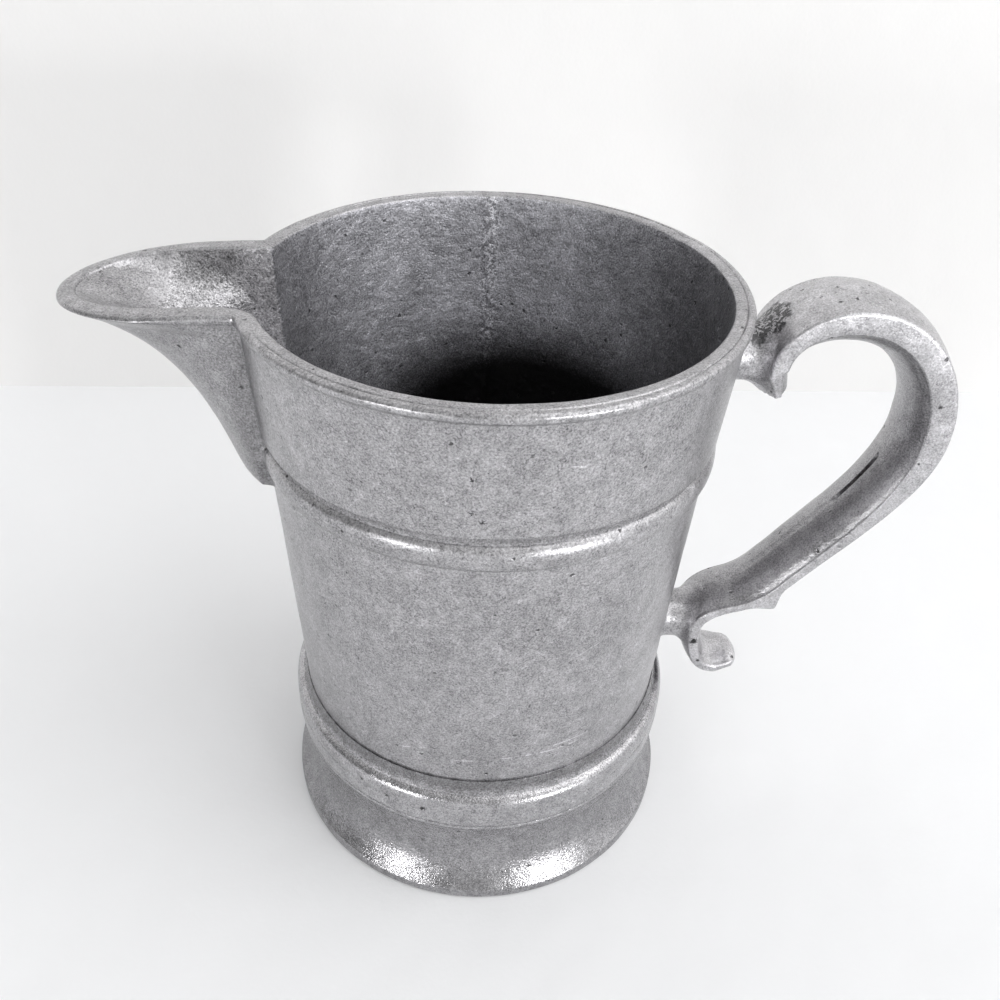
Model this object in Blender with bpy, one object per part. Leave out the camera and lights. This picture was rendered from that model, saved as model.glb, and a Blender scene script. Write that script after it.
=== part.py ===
"""Cream jug of light cast alloy: a tapered drum on a moulded foot, with a beak spout and a scroll handle.

Metres, +Z up. The jug stands on z = 0, its spout points to -X and its handle to +X.
The origin lies under the middle of the jug's box, so the drum's axis is a little to its -X side.
"""

import math

import bmesh
import bpy

MM = 0.001

# Room left wherever two castings meet
SEAT_GAP = 0.3 * MM

# Drum: a tapered cup with a collar at the mouth and a half-round band below it
JUG_HEIGHT = 108.6 * MM
MOUTH_RADIUS = 40.0 * MM
MOUTH_WALL = 3.1 * MM
COLLAR_HEIGHT = 1.4 * MM
COLLAR_PROUD = 0.7 * MM
COLLAR_ROUND = 0.5 * MM
COLLAR_COVE = 1.6 * MM
BAND_DROP = 21.2 * MM
BAND_HEIGHT = 6.2 * MM
BAND_PROUD = 0.9 * MM
BAND_STEP = 0.7 * MM
BAND_QUIRK = 0.12 * MM
UPPER_TAPER = 0.076
LOWER_TAPER = 0.0533
DRUM_WALL = 2.8 * MM

# Foot: a ring with a torus, an astragal and a hollow flared skirt, and a floor disc inside the drum
FOOT_RADIUS = 38.0 * MM
FOOT_LIP = 2.0 * MM
FOOT_EDGE = 0.35 * MM
FOOT_LAND = 3.7 * MM
SKIRT_WALL = 2.6 * MM
FLANGE_TOP = 17.2 * MM
FLANGE_THICKNESS = 2.7 * MM
FLANGE_REACH = 6.5 * MM
ASTRAGAL_TOP = 21.3 * MM
ASTRAGAL_PROUD = 1.1 * MM
TORUS_TOP = 30.6 * MM
TORUS_PROUD = 2.3 * MM
CREASE_PROUD = 0.4 * MM
TORUS_SOFTNESS = 0.9 * MM
QUIRK = 0.3 * MM
SKIRT_FLARE = math.radians(122.0)
SKIRT_TOP_PULL = 0.45
SKIRT_FOOT_PULL = 0.3
DISC_THICKNESS = 3.0 * MM

# Spout: a trough with upright sides and a beak-shaped keel
SPOUT_PROJECTION = 25.7 * MM
SPOUT_HALF_WIDTH = 13.9 * MM
SPOUT_WALL = 3.2 * MM
SPOUT_DEPTH = 34.3 * MM
SPOUT_DROOP = 1.8 * MM
SPOUT_LIP = 3.2 * MM
LIP_ROUND = 0.7 * MM
SPOUT_NARROWING = 0.064
SPOUT_HEEL = 5.0 * MM
HEEL_RISE = 3.7 * MM
HEEL_PROUD = 5.0 * MM
HEEL_BLUNT = 0.2
KEEL_TOP_ANGLE = math.radians(18.9)
KEEL_TOP_PULL = 18.5 * MM
KEEL_FOOT_ANGLE = math.radians(63.8)
KEEL_FOOT_PULL = 6.3 * MM
NOSE_SHARE = 0.70
NOSE_FADE = 3.0 * MM

# Handle: a strap on edge, measured from the drum's wall at its two roots and from the rim
HANDLE_PROJECTION = 39.1 * MM
STRAP_DOME = 1.3 * MM
UPPER_ROOT_DROP = 12.1 * MM
UPPER_NECK = 6.0 * MM
ARCH_DROP = 2.0 * MM
ARCH_LEAD = 12.5 * MM
GRIP_DROP = 25.1 * MM
HOOK_DROP = 21.2 * MM
HOOK_LEAD = 4.3 * MM
LOWER_ROOT_HEIGHT = 38.0 * MM
LOWER_NECK = 4.9 * MM
CURL_DEPTH = 2.6 * MM
ARM_RISE = 10.8 * MM
ARM_LEAD = 13.7 * MM
ARM_LENGTH = 17.0 * MM
ARM_ANGLE = math.radians(50.0)
BEND_RISE = 5.6 * MM
BEND_LEAD = 6.0 * MM
CURL_DROP = 10.6 * MM
CURL_LEAD = 5.0 * MM
TIP_RISE = 2.3 * MM
TIP_LEAD = 3.8 * MM
KNUCKLE_PROUD = 3.0 * MM
KNUCKLE_RUN = 4.5 * MM

# Headings of the strap's edge, and its sections: half width, side, half width of the bead, depth
HOOK_HEADING = math.radians(118.0)
SHOULDER_HEADING = math.radians(88.0)
BEND_HEADING = math.radians(-165.0)
CURL_HEADING = math.radians(-92.0)
UNDER_HEADING = math.radians(2.0)
TIP_HEADING = math.radians(62.0)
HOOK_SECTION = (0.9 * MM, 0.5 * MM, 0.5 * MM, 1.0 * MM)
SHOULDER_SECTION = (7.0 * MM, 2.8 * MM, 3.2 * MM, 5.0 * MM)
ARCH_SECTION = (7.0 * MM, 3.8 * MM, 4.0 * MM, 7.4 * MM)
GRIP_SECTION = (7.0 * MM, 4.6 * MM, 4.2 * MM, 6.4 * MM)
ARM_TOP_SECTION = (6.9 * MM, 1.8 * MM, 4.5 * MM, 4.5 * MM)
ARM_FOOT_SECTION = (6.8 * MM, 1.3 * MM, 4.5 * MM, 4.3 * MM)
BEND_SECTION = (6.2 * MM, 1.2 * MM, 4.2 * MM, 3.5 * MM)
CURL_SECTION = (5.4 * MM, 1.0 * MM, 3.6 * MM, CURL_DEPTH)
UNDER_SECTION = (5.0 * MM, 0.8 * MM, 3.0 * MM, 1.8 * MM)
TIP_SECTION = (4.2 * MM, 0.5 * MM, 2.4 * MM, 1.1 * MM)

# Necks that carry the handle
NECK_RADIUS = 4.7 * MM
NECK_FLARE = 1.9 * MM
NECK_BITE = 1.6 * MM
NECK_PROFILE = [(-0.6, 1.6), (0.0, 1.0), (0.2, 0.45), (0.45, 0.1), (0.7, 0.1), (1.0, 0.2)]
NECK_END_FLARE = 0.0

# Fineness of the facets
TURN_STEPS = 64
NOSE_STEPS = 12
HULL_STEPS = 8
HEEL_LEVELS = (0.0, 0.06, 0.2, 0.45, 0.8)
LIP_LEVELS = (0.0, 0.18, 0.45, 0.75, 1.0)
STRAP_STEPS = 7
DOME_STEPS = 6
BEAD_STEPS = 6
NECK_SIDES = 24
STRAIGHT = math.radians(3.0)

FINISHES = {
    "drum": ((0.52, 0.52, 0.53), 0.42),
    "spout": ((0.51, 0.51, 0.52), 0.44),
    "handle": ((0.54, 0.54, 0.55), 0.38),
    "upper_handle_stub": ((0.47, 0.47, 0.48), 0.48),
    "lower_handle_stub": ((0.50, 0.50, 0.51), 0.44),
    "foot_ring": ((0.53, 0.53, 0.54), 0.36),
    "base_disc": ((0.30, 0.30, 0.31), 0.60),
}

AXIS_SHIFT = (SPOUT_PROJECTION - HANDLE_PROJECTION) / 2


def clear_scene():
    for item in list(bpy.data.objects):
        bpy.data.objects.remove(item, do_unlink=True)


def finish(name):
    colour, roughness = FINISHES[name]
    material = bpy.data.materials.new(name + "_metal")
    material.use_nodes = True
    shader = material.node_tree.nodes["Principled BSDF"]
    shader.inputs["Base Color"].default_value = (*colour, 1.0)
    shader.inputs["Metallic"].default_value = 1.0
    shader.inputs["Roughness"].default_value = roughness
    return material


def add_object(name, mesh_data, axis):
    """Close a bmesh into a named object that stands on the drum's axis."""
    bmesh.ops.remove_doubles(mesh_data, verts=mesh_data.verts, dist=0.001 * MM)
    bmesh.ops.recalc_face_normals(mesh_data, faces=mesh_data.faces)
    mesh = bpy.data.meshes.new(name)
    mesh_data.to_mesh(mesh)
    mesh_data.free()
    mesh.shade_smooth()
    mesh.set_sharp_from_angle(angle=math.radians(35.0))
    item = bpy.data.objects.new(name, mesh)
    bpy.context.collection.objects.link(item)
    item.parent = axis
    if name in FINISHES:
        mesh.materials.append(finish(name))
    else:
        item.hide_render = True
        item.display_type = "WIRE"
    return item


def turned(name, profile, axis):
    """Revolve a (radius, height) outline about the drum's axis. One that starts on the axis stays open."""
    shape = bmesh.new()
    points = [shape.verts.new((radius, 0.0, height)) for radius, height in profile]
    edges = [shape.edges.new(pair) for pair in zip(points, points[1:])]
    if profile[0][0] > 0.0:
        edges.append(shape.edges.new((points[-1], points[0])))
    bmesh.ops.spin(
        shape,
        geom=points + edges,
        axis=(0.0, 0.0, 1.0),
        cent=(0.0, 0.0, 0.0),
        angle=2.0 * math.pi,
        steps=TURN_STEPS,
        use_merge=True,
    )
    return add_object(name, shape, axis)


def lofted(name, rings, axis):
    """Skin a row of closed rings with equal point counts, and cap both ends."""
    shape = bmesh.new()
    rows = [[shape.verts.new(point) for point in ring] for ring in rings]
    for low, high in zip(rows, rows[1:]):
        for i in range(len(low)):
            shape.faces.new((low[i - 1], low[i], high[i], high[i - 1]))
    shape.faces.new(rows[0])
    shape.faces.new(rows[-1])
    return add_object(name, shape, axis)


def cut(target, cutter):
    modifier = target.modifiers.new("cut_by_" + cutter.name, "BOOLEAN")
    modifier.operation = "DIFFERENCE"
    modifier.solver = "EXACT"
    modifier.object = cutter


def bezier(start, start_pull, end_pull, end, steps):
    """Points of a plane cubic curve, both ends included."""
    points = []
    for i in range(steps + 1):
        t = i / steps
        weights = ((1 - t) ** 3, 3 * t * (1 - t) ** 2, 3 * t * t * (1 - t), t**3)
        knots = (start, start_pull, end_pull, end)
        points.append(tuple(sum(w * k[axis] for w, k in zip(weights, knots)) for axis in (0, 1)))
    return points


def polar(point, angle, length):
    return (point[0] + length * math.cos(angle), point[1] + length * math.sin(angle))


def along(points, position, given, wanted):
    """Read one coordinate of a polyline at a value of the other, which rises or falls steadily."""
    rows = sorted(points, key=lambda point: point[given])
    if position <= rows[0][given]:
        return rows[0][wanted]
    for low, high in zip(rows, rows[1:]):
        if position <= high[given]:
            share = (position - low[given]) / max(high[given] - low[given], 1e-9)
            return low[wanted] + share * (high[wanted] - low[wanted])
    return rows[-1][wanted]


# Heights and radii of the drum that other pieces share
BAND_TOP = JUG_HEIGHT - BAND_DROP
BAND_FOOT = BAND_TOP - BAND_HEIGHT
DRUM_FOOT = FLANGE_TOP + SEAT_GAP
COLLAR_FOOT = JUG_HEIGHT - COLLAR_HEIGHT - COLLAR_COVE


def drum_radius(height):
    """Outer radius of the drum's plain walls, above and below the band."""
    upper_foot = MOUTH_RADIUS - COLLAR_PROUD - UPPER_TAPER * (COLLAR_FOOT - BAND_TOP)
    if height >= BAND_TOP:
        return upper_foot + UPPER_TAPER * (height - BAND_TOP)
    return upper_foot - BAND_STEP - LOWER_TAPER * (BAND_FOOT - height)


def bore_radius(height):
    """Inner radius of the drum, a plain cone from the mouth to the floor."""
    mouth = MOUTH_RADIUS - MOUTH_WALL
    floor = drum_radius(DRUM_FOOT) - DRUM_WALL
    return floor + (mouth - floor) * (height - DRUM_FOOT) / (JUG_HEIGHT - DRUM_FOOT)


def drum_outside(growth=0.0):
    """Outer (radius, height) points of the drum from the rim down, pushed out by a growth."""
    rim = MOUTH_RADIUS + growth
    collar_foot = JUG_HEIGHT - COLLAR_HEIGHT
    wall_top = MOUTH_RADIUS - COLLAR_PROUD + growth
    points = [(rim - COLLAR_ROUND, JUG_HEIGHT)]
    points.append((rim - COLLAR_ROUND / 3, JUG_HEIGHT - COLLAR_ROUND / 3))
    points.append((rim, JUG_HEIGHT - COLLAR_ROUND))
    points += bezier((rim, collar_foot), (rim, collar_foot - COLLAR_COVE / 3),
                     (wall_top, collar_foot - COLLAR_COVE / 3), (wall_top, COLLAR_FOOT), 3)
    top = drum_radius(BAND_TOP) + growth
    foot = drum_radius(BAND_FOOT) + growth
    points.append((top, BAND_TOP))
    crown = top + BAND_PROUD
    points += bezier((top + BAND_QUIRK, BAND_TOP - BAND_QUIRK), (crown, BAND_TOP - BAND_HEIGHT / 4),
                     (crown, BAND_FOOT + BAND_HEIGHT / 3), (foot + BAND_QUIRK, BAND_FOOT + BAND_QUIRK), 6)
    points.append((foot, BAND_FOOT))
    points.append((drum_radius(DRUM_FOOT) + growth, DRUM_FOOT))
    return points


def make_drum(axis, channel):
    inside = [(bore_radius(DRUM_FOOT), DRUM_FOOT), (bore_radius(JUG_HEIGHT), JUG_HEIGHT)]
    drum = turned("drum", drum_outside() + inside, axis)
    cut(drum, channel)
    return drum


def make_drum_envelope(axis):
    """The drum grown by the seat gap and filled inwards, which trims what is set against it."""
    core = MOUTH_RADIUS / 3
    outside = drum_outside(SEAT_GAP)
    above = JUG_HEIGHT + SPOUT_LIP
    tall = [(core, above), (outside[0][0], above)] + outside + [(core, DRUM_FOOT)]
    return turned("drum_envelope", tall, axis)


def make_base_disc(axis):
    radius = bore_radius(DRUM_FOOT) - SEAT_GAP
    top = DRUM_FOOT + DISC_THICKNESS
    return turned("base_disc", [(0.0, top), (radius, top), (radius, DRUM_FOOT), (0.0, DRUM_FOOT)], axis)


def make_foot_ring(axis):
    seat_top = drum_radius(TORUS_TOP) + SEAT_GAP
    seat_foot = drum_radius(DRUM_FOOT) + SEAT_GAP
    crown = drum_radius(TORUS_TOP) + TORUS_PROUD
    waist = seat_foot + ASTRAGAL_PROUD
    crease = seat_foot + CREASE_PROUD
    middle = (TORUS_TOP + ASTRAGAL_TOP) / 2
    profile = [(seat_top, TORUS_TOP)]
    profile += bezier((seat_top + QUIRK, TORUS_TOP), (crown - TORUS_SOFTNESS, TORUS_TOP - TORUS_SOFTNESS),
                      (crown, middle + TORUS_SOFTNESS), (crown, middle - TORUS_SOFTNESS), 5)
    profile += bezier((crown, middle - 2 * TORUS_SOFTNESS), (crown, ASTRAGAL_TOP + TORUS_SOFTNESS),
                      (waist + TORUS_SOFTNESS, ASTRAGAL_TOP + QUIRK), (waist + QUIRK, ASTRAGAL_TOP), 3)
    profile += [(waist, ASTRAGAL_TOP - 2 * QUIRK), (waist, FLANGE_TOP + 2 * QUIRK)]
    profile += [(waist - QUIRK, FLANGE_TOP - QUIRK), (crease, FLANGE_TOP - 2 * QUIRK)]
    skirt_top = (crease - QUIRK / 3, FLANGE_TOP - 4 * QUIRK)
    skirt_foot = (FOOT_RADIUS - QUIRK, FOOT_LIP + QUIRK)
    skirt_height = skirt_top[1] - skirt_foot[1]
    profile += bezier(skirt_top, polar(skirt_top, -math.pi / 2, SKIRT_TOP_PULL * skirt_height),
                      polar(skirt_foot, SKIRT_FLARE, SKIRT_FOOT_PULL * skirt_height), skirt_foot, 7)
    profile += [(FOOT_RADIUS, FOOT_LIP), (FOOT_RADIUS, FOOT_EDGE), (FOOT_RADIUS - FOOT_EDGE, 0.0)]
    land = FOOT_RADIUS - FOOT_EDGE - FOOT_LAND
    flange_foot = FLANGE_TOP - FLANGE_THICKNESS
    hollow_top = crease - SKIRT_WALL
    profile += bezier((land, 0.0), (land - FOOT_EDGE, flange_foot / 3),
                      (hollow_top, flange_foot / 2), (hollow_top, flange_foot), 4)
    flange_edge = seat_foot - FLANGE_REACH
    profile += [(flange_edge, flange_foot), (flange_edge, FLANGE_TOP)]
    profile += [(seat_foot, FLANGE_TOP), (seat_foot, DRUM_FOOT)]
    return turned("foot_ring", profile, axis)


def keel_line(wall):
    """The spout's (distance, height) profile under its middle, from the lip down, moved inwards by a wall."""
    heel_height = JUG_HEIGHT - SPOUT_DEPTH + HEEL_RISE
    heel = (drum_radius(heel_height) + HEEL_PROUD, heel_height)
    top = (MOUTH_RADIUS + SPOUT_PROJECTION - LIP_ROUND, JUG_HEIGHT - SPOUT_LIP)
    top_pull = polar(top, KEEL_TOP_ANGLE + math.pi, KEEL_TOP_PULL)
    heel_pull = polar(heel, KEEL_FOOT_ANGLE, KEEL_FOOT_PULL)
    line = bezier(top, top_pull, heel_pull, heel, NOSE_STEPS)
    moved = []
    for i, point in enumerate(line):
        before = line[max(i - 1, 0)]
        after = line[min(i + 1, len(line) - 1)]
        run = (after[0] - before[0], after[1] - before[1])
        length = math.hypot(*run)
        moved.append((point[0] + wall * run[1] / length, point[1] - wall * run[0] / length))
    return moved


def spout_reach(keel, level, wall):
    """Distance from the drum's axis to the spout's nose at a level, rounded under at the lip."""
    lip_foot = JUG_HEIGHT - SPOUT_LIP
    if level < lip_foot:
        return along(keel, level, 1, 0)
    rise = min((level - lip_foot) / SPOUT_LIP, 1.0)
    tip = MOUTH_RADIUS + SPOUT_PROJECTION - wall
    low = min(along(keel, lip_foot, 1, 0), tip)
    return low + (tip - low) * (1.0 - (1.0 - rise) ** 2)


def trough_rings(wall, top, foot, back):
    """Level rings of the spout's outside, or of its channel where a wall is given, from the foot up."""
    keel = keel_line(wall)
    lip_foot = JUG_HEIGHT - SPOUT_LIP
    heel_top = foot + SPOUT_HEEL
    levels = [foot + SPOUT_HEEL * share for share in HEEL_LEVELS]
    levels += [heel_top + (lip_foot - heel_top) * i / HULL_STEPS for i in range(HULL_STEPS)]
    levels += [lip_foot + (top - lip_foot) * share for share in LIP_LEVELS]
    rings = []
    for level in levels:
        depth = max(JUG_HEIGHT - level, 0.0)
        heel = min((level - foot) / SPOUT_HEEL, 1.0)
        rounding = math.sqrt(max(1.0 - (1.0 - heel) ** 2, HEEL_BLUNT**2))
        width = (SPOUT_HALF_WIDTH - wall - SPOUT_NARROWING * depth) * rounding
        face = drum_radius(level)
        reach = spout_reach(keel, level, wall)
        blunt = max(1.0 - depth / NOSE_FADE, 0.0)
        nose = (1.0 - (1.0 - NOSE_SHARE) * blunt) * max(reach - face, SPOUT_WALL)
        start = reach - nose
        ring = [(-back, width), (-min(start, face), width)]
        for i in range(NOSE_STEPS + 1):
            turn = math.pi * i / NOSE_STEPS
            bulge = blunt * math.sin(turn) + (1.0 - blunt) * math.sin(turn) ** 2
            ring.append((-(start + nose * bulge), width * math.cos(turn)))
        ring += [(-min(start, face), -width), (-back, -width)]
        rings.append([(x, y, level - droop(-x, level)) for x, y in ring])
    return rings


def droop(distance, level):
    """How far the spout's edge has sunk below the rim at a distance from the drum's axis."""
    run = max(distance - MOUTH_RADIUS, 0.0) / SPOUT_PROJECTION
    fade = max(1.0 - max(JUG_HEIGHT - level, 0.0) / SPOUT_DEPTH, 0.0)
    return SPOUT_DROOP * run**1.5 * fade


def make_channel(axis):
    """Cutter for the pouring channel, through the spout and the drum's wall."""
    back = bore_radius(JUG_HEIGHT - SPOUT_DEPTH) - 2 * SPOUT_WALL
    foot = JUG_HEIGHT - SPOUT_DEPTH + SPOUT_WALL + HEEL_RISE
    return lofted("channel", trough_rings(SPOUT_WALL, JUG_HEIGHT + SPOUT_LIP, foot, back), axis)


def make_spout(axis, channel, drum_envelope):
    back = bore_radius(JUG_HEIGHT - SPOUT_DEPTH)
    rings = trough_rings(0.0, JUG_HEIGHT, JUG_HEIGHT - SPOUT_DEPTH, back)
    spout = lofted("spout", rings, axis)
    cut(spout, channel)
    cut(spout, drum_envelope)
    return spout


def strap_knots():
    """Points that the strap's edge passes, each with its heading and its section."""
    root_height = JUG_HEIGHT - UPPER_ROOT_DROP
    shoulder = (drum_radius(root_height) + UPPER_NECK, root_height)
    hook = (shoulder[0] + HOOK_LEAD, JUG_HEIGHT - HOOK_DROP)
    arch = (shoulder[0] + ARCH_LEAD, JUG_HEIGHT - ARCH_DROP)
    grip = (MOUTH_RADIUS + HANDLE_PROJECTION - STRAP_DOME, JUG_HEIGHT - GRIP_DROP)
    curl = (drum_radius(LOWER_ROOT_HEIGHT) + LOWER_NECK + CURL_DEPTH, LOWER_ROOT_HEIGHT)
    arm_foot = (curl[0] + ARM_LEAD, curl[1] + ARM_RISE)
    arm_top = polar(arm_foot, ARM_ANGLE, ARM_LENGTH)
    bend = (curl[0] + BEND_LEAD, curl[1] + BEND_RISE)
    under = (curl[0] + CURL_LEAD, curl[1] - CURL_DROP)
    tip = (under[0] + TIP_LEAD, under[1] + TIP_RISE)
    down_arm = ARM_ANGLE - math.pi
    return [
        (hook, HOOK_HEADING, HOOK_SECTION),
        (shoulder, SHOULDER_HEADING, SHOULDER_SECTION),
        (arch, 0.0, ARCH_SECTION),
        (grip, -math.pi / 2, GRIP_SECTION),
        (arm_top, down_arm, ARM_TOP_SECTION),
        (arm_foot, down_arm, ARM_FOOT_SECTION),
        (bend, BEND_HEADING, BEND_SECTION),
        (curl, CURL_HEADING, CURL_SECTION),
        (under, UNDER_HEADING, UNDER_SECTION),
        (tip, TIP_HEADING, TIP_SECTION),
    ]


def strap_stations():
    """Places along the strap, each a (point, heading, section)."""
    stations = []
    knots = strap_knots()
    for (start, from_heading, from_size), (end, to_heading, to_size) in zip(knots, knots[1:]):
        turn = abs(math.remainder(to_heading - from_heading, 2 * math.pi))
        pull = math.dist(start, end) / 3
        if turn > STRAIGHT:
            pull *= 2 * math.tan(turn / 4) / math.sin(turn / 2)
        start_pull = polar(start, from_heading, pull)
        end_pull = polar(end, to_heading, -pull)
        points = bezier(start, start_pull, end_pull, end, STRAP_STEPS)
        for i, point in enumerate(points[:-1]):
            before = points[max(i - 1, 0)]
            after = points[i + 1]
            heading = from_heading if i == 0 else math.atan2(after[1] - before[1], after[0] - before[0])
            share = i / STRAP_STEPS
            size = [low + share * (high - low) for low, high in zip(from_size, to_size)]
            stations.append((point, heading, size))
    stations.append(knots[-1])
    return stations


def strap_ring(point, heading, size, swell, growth):
    """Section of the strap: a domed back, flat sides and a half-round bead on the loop's side."""
    half_width, side, bead, depth = size
    outline = []
    for i in range(DOME_STEPS + 1):
        across = -1 + 2 * i / DOME_STEPS
        outline.append((across * (half_width + growth), -STRAP_DOME * (1 - across**2) - swell - growth))
    outline.append((half_width + growth, side + growth))
    for i in range(BEAD_STEPS + 1):
        turn = math.pi * i / BEAD_STEPS
        outline.append(((bead + growth) * math.cos(turn), side + growth + (depth - side) * math.sin(turn)))
    outline.append((-half_width - growth, side + growth))
    inward = (math.sin(heading), -math.cos(heading))
    return [(point[0] + deep * inward[0], across, point[1] + deep * inward[1]) for across, deep in outline]


def make_strap(name, axis, growth):
    """The handle's strap, or an envelope grown by a clearance that trims the necks."""
    stations = strap_stations()
    arm_foot = next(point for point, _, section in strap_knots() if section is ARM_FOOT_SECTION)
    knuckle = polar(arm_foot, ARM_ANGLE - math.pi, KNUCKLE_RUN / 2)
    rings = []
    for point, heading, size in stations:
        away = math.dist(point, knuckle) / KNUCKLE_RUN
        swell = KNUCKLE_PROUD * max(1.0 - away, 0.0) ** 2
        rings.append(strap_ring(point, heading, size, swell, growth))
    return lofted(name, rings, axis)


def make_neck(name, axis, height, length, envelopes):
    """A trumpet neck from the drum's wall to the strap, flared at both ends and trimmed to seat on them."""
    wall = drum_radius(height)
    rings = []
    for share, flare in NECK_PROFILE + [(1.0 + NECK_BITE / length, NECK_END_FLARE)]:
        radius = NECK_RADIUS + flare * NECK_FLARE
        ring = []
        for i in range(NECK_SIDES):
            turn = 2 * math.pi * i / NECK_SIDES
            ring.append((wall + share * length, radius * math.cos(turn), height + radius * math.sin(turn)))
        rings.append(ring)
    neck = lofted(name, rings, axis)
    for envelope in envelopes:
        cut(neck, envelope)
    return neck


def main():
    clear_scene()
    axis = bpy.data.objects.new("drum_axis", None)
    bpy.context.collection.objects.link(axis)
    axis.location = (AXIS_SHIFT, 0.0, 0.0)
    channel = make_channel(axis)
    drum_envelope = make_drum_envelope(axis)
    make_drum(axis, channel)
    make_base_disc(axis)
    make_foot_ring(axis)
    make_spout(axis, channel, drum_envelope)
    make_strap("handle", axis, 0.0)
    strap_envelope = make_strap("strap_envelope", axis, SEAT_GAP)
    envelopes = (drum_envelope, strap_envelope)
    make_neck("upper_handle_stub", axis, JUG_HEIGHT - UPPER_ROOT_DROP, UPPER_NECK, envelopes)
    make_neck("lower_handle_stub", axis, LOWER_ROOT_HEIGHT, LOWER_NECK, envelopes)


main()
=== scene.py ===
"""Looks for the cream jug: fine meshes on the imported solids, cast-metal materials, a white table, soft light.

Shapes are worked out in millimetres from the drum's axis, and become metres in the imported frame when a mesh
is made.
"""

import math
from collections import namedtuple

import bmesh
import bpy
import numpy as np
from mathutils import Matrix, Vector, noise as relief
from mathutils.bvhtree import BVHTree


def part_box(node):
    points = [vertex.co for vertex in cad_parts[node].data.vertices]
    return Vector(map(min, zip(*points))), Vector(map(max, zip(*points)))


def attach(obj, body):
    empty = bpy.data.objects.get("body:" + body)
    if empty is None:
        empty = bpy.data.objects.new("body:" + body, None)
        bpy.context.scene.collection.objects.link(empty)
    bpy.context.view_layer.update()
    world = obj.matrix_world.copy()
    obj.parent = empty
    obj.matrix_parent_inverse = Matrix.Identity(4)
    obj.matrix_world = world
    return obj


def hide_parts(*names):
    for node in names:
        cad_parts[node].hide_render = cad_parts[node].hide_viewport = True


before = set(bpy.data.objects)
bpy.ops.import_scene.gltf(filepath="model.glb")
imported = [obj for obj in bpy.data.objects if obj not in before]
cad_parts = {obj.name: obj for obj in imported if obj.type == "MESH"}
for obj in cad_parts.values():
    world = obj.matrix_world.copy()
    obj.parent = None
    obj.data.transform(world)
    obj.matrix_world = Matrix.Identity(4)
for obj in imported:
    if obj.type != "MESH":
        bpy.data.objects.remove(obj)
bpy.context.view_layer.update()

MM = 0.001
foot_low, foot_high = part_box("foot_ring")
AXIS_X = (foot_low.x + foot_high.x) / 2 / MM

# Drum
JUG_HEIGHT = 108.6
MOUTH_RADIUS = 40.0
MOUTH_WALL = 3.1
COLLAR_HEIGHT = 1.4
COLLAR_PROUD = 0.7
COLLAR_COVE = 1.6
COLLAR_FOOT = JUG_HEIGHT - COLLAR_HEIGHT - COLLAR_COVE
BAND_TOP = JUG_HEIGHT - 21.2
BAND_HEIGHT = 6.2
BAND_FOOT = BAND_TOP - BAND_HEIGHT
BAND_MIDDLE = BAND_TOP - 0.62 * BAND_HEIGHT
BAND_PROUD = 0.88
BAND_STEP = 0.7
LOWER_TRIM = 0.1
UPPER_TAPER = 0.076
LOWER_TAPER = 0.0533
DRUM_WALL = 2.8
DRUM_FOOT = 17.5

# Runs of the drum's outline, as (out, down) moves from a corner
COLLAR_EDGE = [(-0.02, -0.25)]
COLLAR_CURVE = [(-0.1, 0.0), (-0.3, 0.25), (-0.58, 0.3), (-0.6, 0.7)]
BAND_ARRIS = [(0.03, -0.3), (0.0, -0.02), (-0.06, 0.04)]
BAND_HOLLOW = [(-0.05, 0.3), (-0.12, 0.9), (-0.1, 1.75)]
BAND_RISE = [(-0.02, 1.8), (0.55, 2.1)]
CROWN_ABOVE = [(0.0, -0.9), (0.0, 0.0)]
CROWN_BELOW = [(0.0, 0.1), (0.0, 1.3)]
BAND_FALL = [(0.6, -0.3), (0.22, -0.05)]
BAND_CORNER = [(-0.2, 0.1), (-0.18, 0.3), (-0.27, 2.6)]

# Foot and floor
FOOT_RADIUS = 38.0
FOOT_LIP = 2.0
LIP_EASE = 0.4
FOOT_LAND = 3.7
LAND_INSET = 0.35
SKIRT_WALL = 2.6
SKIRT_TOP_ANGLE = math.radians(-96)
SKIRT_TOP_PULL = 0.46
SKIRT_FOOT_ANGLE = math.radians(127)
SKIRT_FOOT_PULL = 0.40
FLANGE_TOP = 17.2
FLANGE_THICKNESS = 2.7
FLANGE_REACH = 6.5
SEAT_GAP = 0.3
SEAT_OVERLAP = 0.4
ASTRAGAL_PROUD = 1.1
CREASE_PROUD = 0.4
TORUS_TOP = 30.6
TORUS_PROUD = 2.3
TORUS_MIDDLE = 25.0
TORUS_FOOT = 19.3
TORUS_GROOVE = 24.1
GROOVE_DEPTH = 0.08
GROOVE_HALF_WIDTH = 0.22
DISC_THICKNESS = 3.0
DISC_OVERLAP = 0.2

# Runs of the foot's outline, as (out, down) moves from a corner
SEAT_EDGE = [(-SEAT_OVERLAP, 0.0), (0.12, 0.0), (0.18, 0.15)]
SEAT_COLLAR = [(0.2, 0.3), (0.42, 1.1), (0.6, 2.1), (0.9, 2.95)]
TORUS_RISE = [(0.9, 2.95), (1.75, 3.25)]
TORUS_CROWN = [(0.0, -1.6), (0.0, 0.0)]
TORUS_FALL = [(-0.02, -2.2), (-0.12, -1.2), (-0.25, -0.95), (-0.16, -0.75), (-0.24, -0.2), (-0.36, 0.0)]
WAIST = [(0.0, 0.3), (-0.5, 0.8)]
SKIRT_START = [(0.0, 0.6), (-0.1, 1.2)]

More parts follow.
